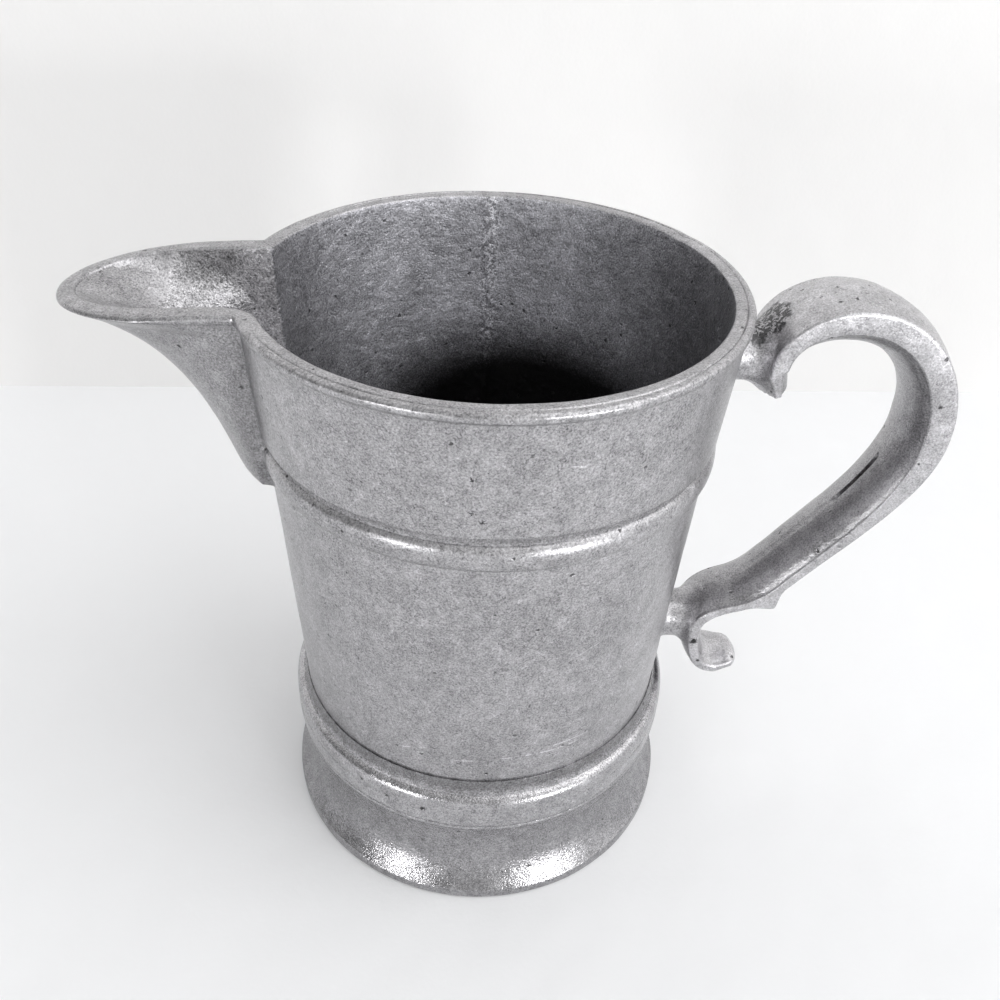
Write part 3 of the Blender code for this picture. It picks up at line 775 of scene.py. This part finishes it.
def make_strap(name):
    """The handle's strap. Faces get slot 1 on the bead along its inside."""
    knuckle = polar(strap_knots()[ARM_KNOT][0], ARM_ANGLE - math.pi, KNUCKLE_RUN / 2 + KNUCKLE_PAST)
    stations = strap_stations()
    rings = []
    for (x, z), heading, size in stations:
        away = math.dist((x, z), knuckle) / KNUCKLE_RUN
        swell = KNUCKLE_PROUD * max(1.0 - math.hypot(away, KNUCKLE_BLUNT), 0.0) ** 2
        inward = (math.sin(heading), -math.cos(heading))
        outline = strap_outline(size, swell)
        crown = np.argmax(outline[:, 1] - 9.0 * np.abs(outline[:, 0]))
        outline[crown, 1] -= slit(z + size[3] * inward[1])
        rings.append([(x + deep * inward[0], across, z + deep * inward[1]) for across, deep in outline])
    tail = rounded_end(rings[-1], stations[-1][1], TAIL_ROUND)
    hook = rounded_end(rings[0], stations[0][1] + math.pi, HOOK_ROUND)
    strap = lofted(name, hook[::-1] + rings + tail)
    column = np.arange(len(strap.data.polygons)) % len(rings[0])
    bead_start = BACK_STEPS + SIDE_STEPS
    bead_end = bead_start + 2 * LEDGE_STEPS + BEAD_STEPS + 1
    bead = (column > bead_start) & (column < bead_end)
    strap.data.polygons.foreach_set("material_index", bead.astype(int))
    return strap


def make_neck(name, height, length, flare, beard, strap):
    """A neck from the drum to the strap, that flares on to both, and by a beard more at its underside."""
    graph = bmesh.new()
    graph.from_mesh(strap.data)
    tree = BVHTree.FromBMesh(graph)
    graph.free()
    start = drum_radius(height)
    turn = np.linspace(0.0, 2 * math.pi, NECK_POINTS, endpoint=False)

    def drum_side(radius):
        across = radius * np.cos(turn)
        return np.sqrt(outside_radius(height + radius * np.sin(turn)) ** 2 - across**2)

    def strap_at(radius, angle):
        across = radius * math.cos(angle)
        place = Vector((start + 1.0 + AXIS_X, across, height + radius * math.sin(angle))) * MM
        hit = tree.ray_cast(place, Vector((1.0, 0.0, 0.0)), (length + RAY_PAST) * MM)[0]
        return None if hit is None else hit.x / MM - AXIS_X

    def strap_limit(angle):
        """The widest radius at an angle that still meets the strap."""
        for radius in np.arange(NECK_RADIUS + flare + beard, 1.0, -LIMIT_STEP):
            if strap_at(radius, angle) is not None:
                return radius
        return 1.0

    def strap_row(radius, lift):
        radii = np.minimum(radius, limits)
        ends = np.array([strap_at(*pair) or start + length for pair in zip(radii, turn)])
        return row(ends + lift, radii)

    def row(distance, radius):
        return np.stack([distance + 0 * turn, radius * np.cos(turn), height + radius * np.sin(turn)], axis=1)

    flares = flare + beard * np.maximum(-np.sin(turn), 0.0) ** 3
    limits = np.array([strap_limit(angle) for angle in turn])
    for _ in range(4):
        eased = (np.roll(limits, 1) + limits + np.roll(limits, -1)) / 3
        limits = np.minimum(limits, eased)

    sweep = np.linspace(0.0, math.pi / 2, NECK_RINGS)
    widest = NECK_RADIUS + NECK_FLARE + NECK_SKIRT
    rings = [row(drum_side(widest) - NECK_SINK, widest)]
    for angle in sweep:
        radius = NECK_RADIUS + NECK_FLARE * (1.0 - math.sin(angle))
        rings.append(row(drum_side(radius) + NECK_FLARE * (1.0 - math.cos(angle)) - NECK_OVERLAP, radius))
    for angle in sweep[::-1]:
        radius = NECK_RADIUS + flares * (1.0 - math.sin(angle))
        back = np.minimum(flares, 0.6 * length) * (1.0 - math.cos(angle))
        rings.append(strap_row(radius, NECK_OVERLAP - back))
    rings.append(strap_row(NECK_RADIUS + flares, STRAP_SINK))
    return lofted(name, rings)


def foot_outline():
    """Closed outline of the foot: seat, torus, waist, skirt, land, hollow and flange."""
    seat_top = (drum_radius(TORUS_TOP), TORUS_TOP)
    seat = drum_radius(DRUM_FOOT)
    crown = seat_top[0] + TORUS_PROUD
    crease = (seat + SEAT_GAP + CREASE_PROUD, FLANGE_TOP)
    outline = moved(seat_top, SEAT_EDGE)
    outline += bezier(*moved(seat_top, SEAT_COLLAR), 8)
    outline += bezier(*moved(seat_top, TORUS_RISE), *moved((crown, TORUS_MIDDLE), TORUS_CROWN), 16)[1:]
    outline += [(crown, TORUS_GROOVE + GROOVE_HALF_WIDTH), (crown - GROOVE_DEPTH, TORUS_GROOVE)]
    outline += [(crown, TORUS_GROOVE - GROOVE_HALF_WIDTH)]
    outline += moved((crown, TORUS_FOOT), TORUS_FALL)
    outline += moved((seat + SEAT_GAP + ASTRAGAL_PROUD, TORUS_FOOT), WAIST)
    crease_point, skirt_top = moved(crease, SKIRT_START)
    skirt_foot = (FOOT_RADIUS - 0.3, FOOT_LIP + 0.3)
    skirt_height = skirt_top[1] - skirt_foot[1]
    top_pull = polar(skirt_top, SKIRT_TOP_ANGLE, SKIRT_TOP_PULL * skirt_height)
    foot_pull = polar(skirt_foot, SKIRT_FOOT_ANGLE, SKIRT_FOOT_PULL * skirt_height)
    outline += [crease_point]
    outline += bezier(skirt_top, top_pull, foot_pull, skirt_foot, 30)
    outline += [(FOOT_RADIUS - 0.05, FOOT_LIP), (FOOT_RADIUS, FOOT_LIP - LIP_EASE)]
    outline += [(FOOT_RADIUS, LIP_EASE), (FOOT_RADIUS - LIP_EASE, 0.0)]
    land = FOOT_RADIUS - LAND_INSET - FOOT_LAND
    flange_foot = FLANGE_TOP - FLANGE_THICKNESS
    hollow = crease[0] - SKIRT_WALL
    hollow_pulls = ((land - LAND_INSET, flange_foot / 3), (hollow, flange_foot / 2))
    outline += bezier((land, 0.0), *hollow_pulls, (hollow, flange_foot), 10)
    flange_edge = seat + SEAT_GAP - FLANGE_REACH
    outline += [(flange_edge, flange_foot), (flange_edge, FLANGE_TOP), (seat - SEAT_OVERLAP, FLANGE_TOP)]
    return outline


def make_foot_ring():
    """The moulded foot. Faces get slot 1 below the torus."""
    foot = turned("foot_moulding", foot_outline())
    for polygon in foot.data.polygons:
        polygon.material_index = int(polygon.center.z < (TORUS_FOOT - 0.2) * MM)
    return foot


def make_floor():
    top = DRUM_FOOT + DISC_THICKNESS
    radius = bore_radius(DRUM_FOOT) + DISC_OVERLAP
    outline = [(AXIS_HOLE, top), (radius, top), (radius, DRUM_FOOT), (AXIS_HOLE, DRUM_FOOT)]
    return turned("cup_floor", fine(outline, DISC_STEP))


def add(tree, kind, inputs=None, **settings):
    """A shader node with its settings, and its inputs given as numbers or as links."""
    item = tree.nodes.new(kind)
    for key, value in settings.items():
        setattr(item, key, value)
    for key, value in (inputs or {}).items():
        if isinstance(value, bpy.types.NodeSocket):
            tree.links.new(value, item.inputs[key])
        else:
            item.inputs[key].default_value = value
    return item


def maths(tree, operation, *values):
    return add(tree, "ShaderNodeMath", dict(enumerate(values)), operation=operation).outputs[0]


def vectors(tree, operation, *values):
    """Outputs of a vector node: first the vector, and the number under its name."""
    return add(tree, "ShaderNodeVectorMath", dict(enumerate(values)), operation=operation).outputs


def ramp(tree, value, low, high, start=0.0, end=1.0):
    inputs = {"Value": value, "From Min": low, "From Max": high, "To Min": start, "To Max": end}
    return add(tree, "ShaderNodeMapRange", inputs, interpolation_type="SMOOTHSTEP").outputs["Result"]


def noise(tree, place, size, detail=3.0, rough=0.55):
    """Noise whose features are about a size in millimetres."""
    inputs = {"Vector": place, "Scale": 1.0 / (size * MM), "Detail": detail, "Roughness": rough}
    return add(tree, "ShaderNodeTexNoise", inputs).outputs["Fac"]


def swing(tree, value, amount, level):
    """A level moved by a noise, up where the noise is over its middle and down where it is under."""
    return maths(tree, "MULTIPLY_ADD", maths(tree, "SUBTRACT", value, 0.5), amount, level)


def hairs(tree, place, size, width, part):
    """Short thin curved lines: the contours of noise, kept where a second noise is above a part."""
    off = maths(tree, "ABSOLUTE", maths(tree, "SUBTRACT", noise(tree, place, size, 1.0), 0.5))
    line = ramp(tree, off, 0.0, width, 1.0, 0.0)
    breaks = noise(tree, place, 1.7 * size, 1.0)
    return maths(tree, "MULTIPLY", line, ramp(tree, breaks, part, part + 0.08))


def pit_mask(tree, place, pitted):
    """Small ragged spots in those cells whose random number is above a threshold."""
    inputs = {"Vector": place, "Scale": 1.0 / (PIT_WARP_SIZE * MM), "Detail": 1.0}
    shift = add(tree, "ShaderNodeTexNoise", inputs).outputs["Color"]
    warped = vectors(tree, "MULTIPLY_ADD", shift, (PIT_WARP * MM,) * 3, place)[0]
    inputs = {"Vector": warped, "Scale": 1.0 / (PIT_SPACING * MM)}
    cell = add(tree, "ShaderNodeTexVoronoi", inputs).outputs
    spot = ramp(tree, cell["Distance"], 0.08, 0.19, 1.0, 0.0)
    pick = add(tree, "ShaderNodeSeparateColor", {"Color": cell["Color"]}).outputs[0]
    return maths(tree, "MULTIPLY", spot, ramp(tree, pick, pitted - 0.03, pitted + 0.03))


def from_point(tree, place, point):
    """The way to a place from a point that is given in millimetres on the drum's axis."""
    middle = (Vector(point) + Vector((AXIS_X, 0.0, 0.0))) * MM
    return vectors(tree, "SUBTRACT", place, tuple(middle))[0]


def scratch_line(tree, place, coarse, scratch):
    """Mask of a thin wavering line on the near side, faded at its ends, and broken where it is long."""
    length = scratch.end - scratch.start
    taper = min(SCRATCH_TAPER, 0.3 * length)
    spot = add(tree, "ShaderNodeSeparateXYZ", {"Vector": place}).outputs
    run = maths(tree, "SUBTRACT", spot["X"], (scratch.start + AXIS_X) * MM)
    middle = maths(tree, "MULTIPLY_ADD", run, scratch.slope, scratch.height * MM)
    off = maths(tree, "SUBTRACT", spot["Z"], middle)
    wander = noise(tree, place, SCRATCH_WAVE, 1.0)
    off = maths(tree, "ABSOLUTE", maths(tree, "MULTIPLY_ADD", wander, SCRATCH_WANDER * MM, off))
    line = ramp(tree, off, SCRATCH_CORE * MM, SCRATCH_EDGE * MM, 1.0, 0.0)
    fades = [
        ramp(tree, run, 0.0, taper * MM),
        ramp(tree, run, (length - taper) * MM, length * MM, 1.0, 0.0),
        ramp(tree, spot["Y"], -25.0 * MM, -20.0 * MM, 1.0, 0.0),
    ]
    if length > LONG_SCRATCH:
        fades.append(ramp(tree, coarse, 0.42, 0.56))
    for fade in fades:
        line = maths(tree, "MULTIPLY", line, fade)
    return line


def folded_patch(tree, place, coarse, fine_grain, centre):
    """Factor of a dark ragged patch with folds that run out from its centre."""
    away = from_point(tree, place, centre)
    length = swing(tree, coarse, ROOT_RAGGED * MM, vectors(tree, "LENGTH", away)["Value"])
    patch = ramp(tree, length, ROOT_PATCH * MM, ROOT_PATCH_EDGE * MM, 1.0, 0.0)
    ahead = vectors(tree, "NORMALIZE", away)[0]
    inputs = {"Vector": ahead, "Scale": 7.0, "Detail": 3.0, "Distortion": 0.4}
    fold = add(tree, "ShaderNodeTexNoise", inputs).outputs[0]
    fold = ramp(tree, maths(tree, "MULTIPLY_ADD", fine_grain, 0.4, fold), 0.69, 0.80, 0.2, 0.85)
    return maths(tree, "MULTIPLY_ADD", patch, maths(tree, "SUBTRACT", fold, 1.0), 1.0)


# A darkening round a point: a real stain or pit, or painted shade.
def stain_or_shade_factor(tree, place, fine_grain, stain_or_shade):
    away = vectors(tree, "MULTIPLY", from_point(tree, place, stain_or_shade.centre), stain_or_shade.stretch)[0]
    away = swing(tree, fine_grain, stain_or_shade.ragged * MM, vectors(tree, "LENGTH", away)["Value"])
    return ramp(tree, away, stain_or_shade.low * MM, stain_or_shade.high * MM, stain_or_shade.least, 1.0)


def seam_factor(tree, place, coarse, strength):
    """Factor of the speckled strip along the core's joint."""
    side = add(tree, "ShaderNodeSeparateXYZ", {"Vector": place}).outputs["X"]
    middle = AXIS_X - bore_radius(JUG_HEIGHT) * math.cos(CORE_SEAM)
    off = maths(tree, "ABSOLUTE", maths(tree, "SUBTRACT", side, middle * MM))
    off = maths(tree, "MULTIPLY_ADD", coarse, SEAM_RAGGED * MM, off)
    strip = ramp(tree, off, SEAM_STRIP * MM, SEAM_STRIP_EDGE * MM, 1.0, 0.0)
    specks = ramp(tree, noise(tree, place, SEAM_SPECK_SIZE, 2.0), 0.4, 0.62, -0.5, 1.0)
    return maths(tree, "MULTIPLY_ADD", maths(tree, "MULTIPLY", strip, specks), strength, 1.0)


def cast_metal(name, tone, roughness, grain=0.045, lumps=0.06, pits=0.15, pitted=0.92, contrast=2.3,
               mottling=0.25, blotches=0.06, hair=0.14, metallic=1.0, tint=COOL_GREY, root=None, stains_and_shade=(),
               scratches=(), seam=0.0):
    """Light cast alloy: fine grain, low lumps, small dark pits, short hairline marks and uneven tone."""
    material = bpy.data.materials.new(name)
    material.use_nodes = True
    tree = material.node_tree
    place = add(tree, "ShaderNodeTexCoord").outputs["Object"]
    fine_grain = noise(tree, place, GRAIN_SIZE, 2.0, 0.65)
    coarse = noise(tree, place, LUMP_SIZE)
    pit = pit_mask(tree, place, pitted)

    height = maths(tree, "MULTIPLY", fine_grain, grain)
    height = maths(tree, "MULTIPLY_ADD", coarse, lumps, height)
    height = maths(tree, "MULTIPLY_ADD", pit, -pits, height)
    bump = add(tree, "ShaderNodeBump", {"Height": height, "Distance": MM, "Strength": 1.0})

    level = swing(tree, fine_grain, contrast, 1.0)
    level = swing(tree, noise(tree, place, CLOUD_SIZE, 2.0), mottling, level)
    level = swing(tree, coarse, 0.3 * contrast, level)
    bright = hairs(tree, place, BRIGHT_HAIR_SIZE, 0.035, 0.48)
    dark = hairs(tree, place, DARK_HAIR_SIZE, 0.03, 0.52)
    level = maths(tree, "MULTIPLY_ADD", bright, hair, level)
    level = maths(tree, "MULTIPLY_ADD", dark, -1.2 * hair, level)
    level = maths(tree, "MULTIPLY", level, ramp(tree, pit, 0.0, 1.0, 1.0, 0.3))
    blotch = noise(tree, place, BLOTCH_SIZE, 6.0, 0.7)
    blotch = ramp(tree, blotch, 0.36, 0.64, 1.0 - blotches, 1.0 + blotches)
    level = maths(tree, "MULTIPLY", level, blotch)
    for scratch in scratches:
        line = scratch_line(tree, place, coarse, scratch)
        level = maths(tree, "MULTIPLY_ADD", line, scratch.strength, level)
    # Stains, pits and painted shade darken the colour by their factors.
    factors = [stain_or_shade_factor(tree, place, fine_grain, stain_or_shade) for stain_or_shade in stains_and_shade]
    if root:
        factors.insert(0, folded_patch(tree, place, coarse, fine_grain, root))
    if seam:
        factors.append(seam_factor(tree, place, coarse, seam))
    for factor in factors:
        level = maths(tree, "MULTIPLY", level, factor)

    channels = zip(("Red", "Green", "Blue"), tint)
    colour = add(tree, "ShaderNodeCombineColor", {
        channel: maths(tree, "MULTIPLY", level, tone * share) for channel, share in channels
    })
    shader = tree.nodes["Principled BSDF"]
    tree.links.new(colour.outputs[0], shader.inputs["Base Color"])
    tree.links.new(swing(tree, coarse, 0.25, roughness), shader.inputs["Roughness"])
    tree.links.new(bump.outputs[0], shader.inputs["Normal"])
    shader.inputs["Metallic"].default_value = metallic
    return material


def dress(item, materials, *nodes):
    """Give a piece its materials, and put it in the place of solids of the model."""
    for material in materials:
        item.data.materials.append(material)
    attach(item, "root")
    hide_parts(*nodes)


def make_camera():
    flat = math.cos(CAMERA_PITCH)
    ahead = Vector((math.sin(CAMERA_YAW) * flat, math.cos(CAMERA_YAW) * flat, -math.sin(CAMERA_PITCH)))
    level = ahead.cross(Vector((0.0, 0.0, 1.0))).normalized()
    above = level.cross(ahead)
    right = math.cos(CAMERA_ROLL) * level + math.sin(CAMERA_ROLL) * above
    up = -math.sin(CAMERA_ROLL) * level + math.cos(CAMERA_ROLL) * above
    turn = Matrix.Rotation(CAMERA_AROUND, 3, "Z")
    data = bpy.data.cameras.new("camera")
    data.sensor_width = CAMERA_SENSOR
    data.lens = CAMERA_LENS
    data.clip_start = CAMERA_CLIP
    camera = bpy.data.objects.new("camera", data)
    bpy.context.collection.objects.link(camera)
    matrix = Matrix((turn @ right, turn @ up, turn @ -ahead)).transposed().to_4x4()
    place = turn @ Vector(CAMERA_PLACE) * MOUTH_RADIUS
    matrix.translation = (place + Vector((AXIS_X, 0.0, 0.0))) * MM
    camera.matrix_world = matrix
    bpy.context.scene.camera = camera


def make_light(name, place, size, power):
    data = bpy.data.lights.new(name, "AREA")
    data.shape = "RECTANGLE"
    data.size, data.size_y = size
    data.energy = power
    lamp = bpy.data.objects.new(name, data)
    bpy.context.collection.objects.link(lamp)
    lamp.location = place
    lamp.rotation_euler = (Vector(LIGHT_AIM) - Vector(place)).to_track_quat("-Z", "Y").to_euler()


def stage_material(name, colour):
    """Pale cloth or paper, clear from behind so that the object shows from every side."""
    material = bpy.data.materials.new(name)
    material.use_nodes = True
    tree = material.node_tree
    shader = tree.nodes["Principled BSDF"]
    place = add(tree, "ShaderNodeTexCoord").outputs["Object"]
    weave = noise(tree, place, 1.2, 2.0)
    folds = noise(tree, place, 30.0, 2.0)
    height = maths(tree, "MULTIPLY_ADD", folds, 1.2, maths(tree, "MULTIPLY", weave, 0.05))
    bump = add(tree, "ShaderNodeBump", {"Height": height, "Distance": MM, "Strength": 0.6})
    tree.links.new(bump.outputs[0], shader.inputs["Normal"])
    shader.inputs["Base Color"].default_value = (*colour, 1.0)
    shader.inputs["Roughness"].default_value = 0.9
    shader.inputs["Specular IOR Level"].default_value = 0.1
    behind = add(tree, "ShaderNodeNewGeometry").outputs["Backfacing"]
    clear = add(tree, "ShaderNodeBsdfTransparent").outputs[0]
    either = add(tree, "ShaderNodeMixShader", {0: behind, 1: shader.outputs[0], 2: clear})
    tree.links.new(either.outputs[0], tree.nodes["Material Output"].inputs["Surface"])
    return material


def stage_sheet(name, corners, material):
    mesh = bpy.data.meshes.new(name)
    mesh.from_pydata(corners, [], [(0, 1, 2, 3)])
    mesh.materials.append(material)
    item = bpy.data.objects.new(name, mesh)
    bpy.context.collection.objects.link(item)
    return item


def make_stage():
    front = [(side, -STAGE_REACH, CLOTH_LEVEL) for side in (-STAGE_REACH, STAGE_REACH)]
    back = [(side, CLOTH_BACK, CLOTH_LEVEL) for side in (STAGE_REACH, -STAGE_REACH)]
    floor = stage_sheet("table_cloth", front + back, stage_material("white_cloth", CLOTH_COLOUR))
    left = [(-STAGE_REACH, WALL_LEFT, height) for height in (STAGE_REACH, WALL_FOOT)]
    right = [(STAGE_REACH, WALL_RIGHT, height) for height in (WALL_FOOT, STAGE_REACH)]
    wall = stage_sheet("back_wall", left + right, stage_material("white_wall", WALL_COLOUR))


def make_world():
    """An even white room, darker on the spout's side and lighter above."""
    world = bpy.data.worlds.new("studio")
    bpy.context.scene.world = world
    world.use_nodes = True
    tree = world.node_tree
    way = add(tree, "ShaderNodeTexCoord").outputs["Generated"]
    part = add(tree, "ShaderNodeSeparateXYZ", {"Vector": way}).outputs
    strength = ramp(tree, part["X"], -SKY_SPREAD, SKY_SPREAD, SKY_SPOUT_SIDE, SKY_HANDLE_SIDE)
    strength = maths(tree, "ADD", strength, ramp(tree, part["Z"], 0.0, SKY_SPREAD, 0.0, SKY_ABOVE))
    background = tree.nodes["Background"]
    background.inputs["Color"].default_value = (1.0, 1.0, 1.0, 1.0)
    tree.links.new(strength, background.inputs["Strength"])


def cup_metals():
    """Materials of the drum, the bore, the channel and the spout's outside, in the order of their slots."""
    return [
        cast_metal("drum_cast", 0.40, 0.33, pitted=0.9, contrast=2.2, mottling=0.35, blotches=0.08, hair=0.28,
                   stains_and_shade=DRUM_PITS_AND_PAINTED_SHADE, scratches=DRUM_SCRATCHES),
        cast_metal("bore_cast", 0.56, 0.34, grain=0.16, lumps=0.42, pits=0.4, pitted=0.8, contrast=2.6,
                   mottling=0.8, blotches=0.14, metallic=0.45, tint=BLUE_GREY, stains_and_shade=BORE_PAINTED_SHADE, seam=0.5),
        cast_metal("channel_cast", 0.48, 0.24, grain=0.14, lumps=0.45, contrast=3.2, blotches=0.15,
                   metallic=0.6, stains_and_shade=CHANNEL_PAINTED_SHADE),
        # A darker copy of the drum's metal: painted shade on the spout's outside, besides its painted valley
        # shade.
        cast_metal("spout_shaded_cast", 0.35, 0.33, contrast=2.2, blotches=0.1, stains_and_shade=SPOUT_VALLEY_PAINTED_SHADE),
    ]


def strap_metals():
    """Materials of the strap's outside and of the bead along its inside."""
    return [
        # A lighter copy of the metal: painted light on the strap's back and sides.
        cast_metal("handle_lit_cast", 0.51, 0.31, pits=0.35, pitted=0.5, contrast=1.7, mottling=0.5,
                   blotches=0.12, root=FOLDED_ROOT, stains_and_shade=CURL_CRACK),
        # A darker copy of the metal: painted shade on the bead along the strap's inside.
        cast_metal("handle_inner_shaded_cast", 0.35, 0.32, lumps=0.14, pits=0.3, pitted=0.78, contrast=1.9,
                   mottling=0.6, stains_and_shade=CURL_CRACK),
    ]


def make_jug():
    cup = make_cup()
    strap = make_strap("handle_strap")
    upper = make_neck("upper_neck", UPPER_ROOT, UPPER_NECK, UPPER_FLARE, UPPER_BEARD, strap)
    lower = make_neck("lower_neck", LOWER_ROOT, LOWER_NECK, LOWER_FLARE, LOWER_BEARD, strap)
    foot = make_foot_ring()
    disc = make_floor()
    roughen(cup, CUP_LUMPS)
    roughen(foot, FOOT_LUMPS)
    roughen(strap, STRAP_LUMPS)
    upper_metal = cast_metal("upper_neck_cast", 0.43, 0.36, lumps=0.14, blotches=0.12, root=FOLDED_ROOT)
    # A darker copy of the metal: painted shade on the lower neck.
    lower_shaded_metal = cast_metal("lower_neck_shaded_cast", 0.38, 0.34, blotches=0.12)
    torus_metal = cast_metal("foot_cast", 0.41, 0.24, lumps=0.12, blotches=0.1, stains_and_shade=FOOT_PITS_AND_PAINTED_SHADE)
    # A darker copy of the foot's metal: painted shade on the skirt under the torus.
    skirt_shaded_metal = cast_metal("skirt_shaded_cast", 0.35, 0.21, grain=0.06, lumps=0.11, blotches=0.1)
    floor_metal = cast_metal("floor_cast", 0.12, 0.60, lumps=0.2)
    dress(cup, cup_metals(), "drum", "spout")
    dress(strap, strap_metals(), "handle")
    dress(upper, [upper_metal], "upper_handle_stub")
    dress(lower, [lower_shaded_metal], "lower_handle_stub")
    dress(foot, [torus_metal, skirt_shaded_metal], "foot_ring")
    dress(disc, [floor_metal], "base_disc")


def main():
    bpy.context.scene.view_settings.view_transform = "Standard"
    make_camera()
    make_world()
    make_stage()
    for light in LIGHTS:
        make_light(*light)
    make_jug()


main()
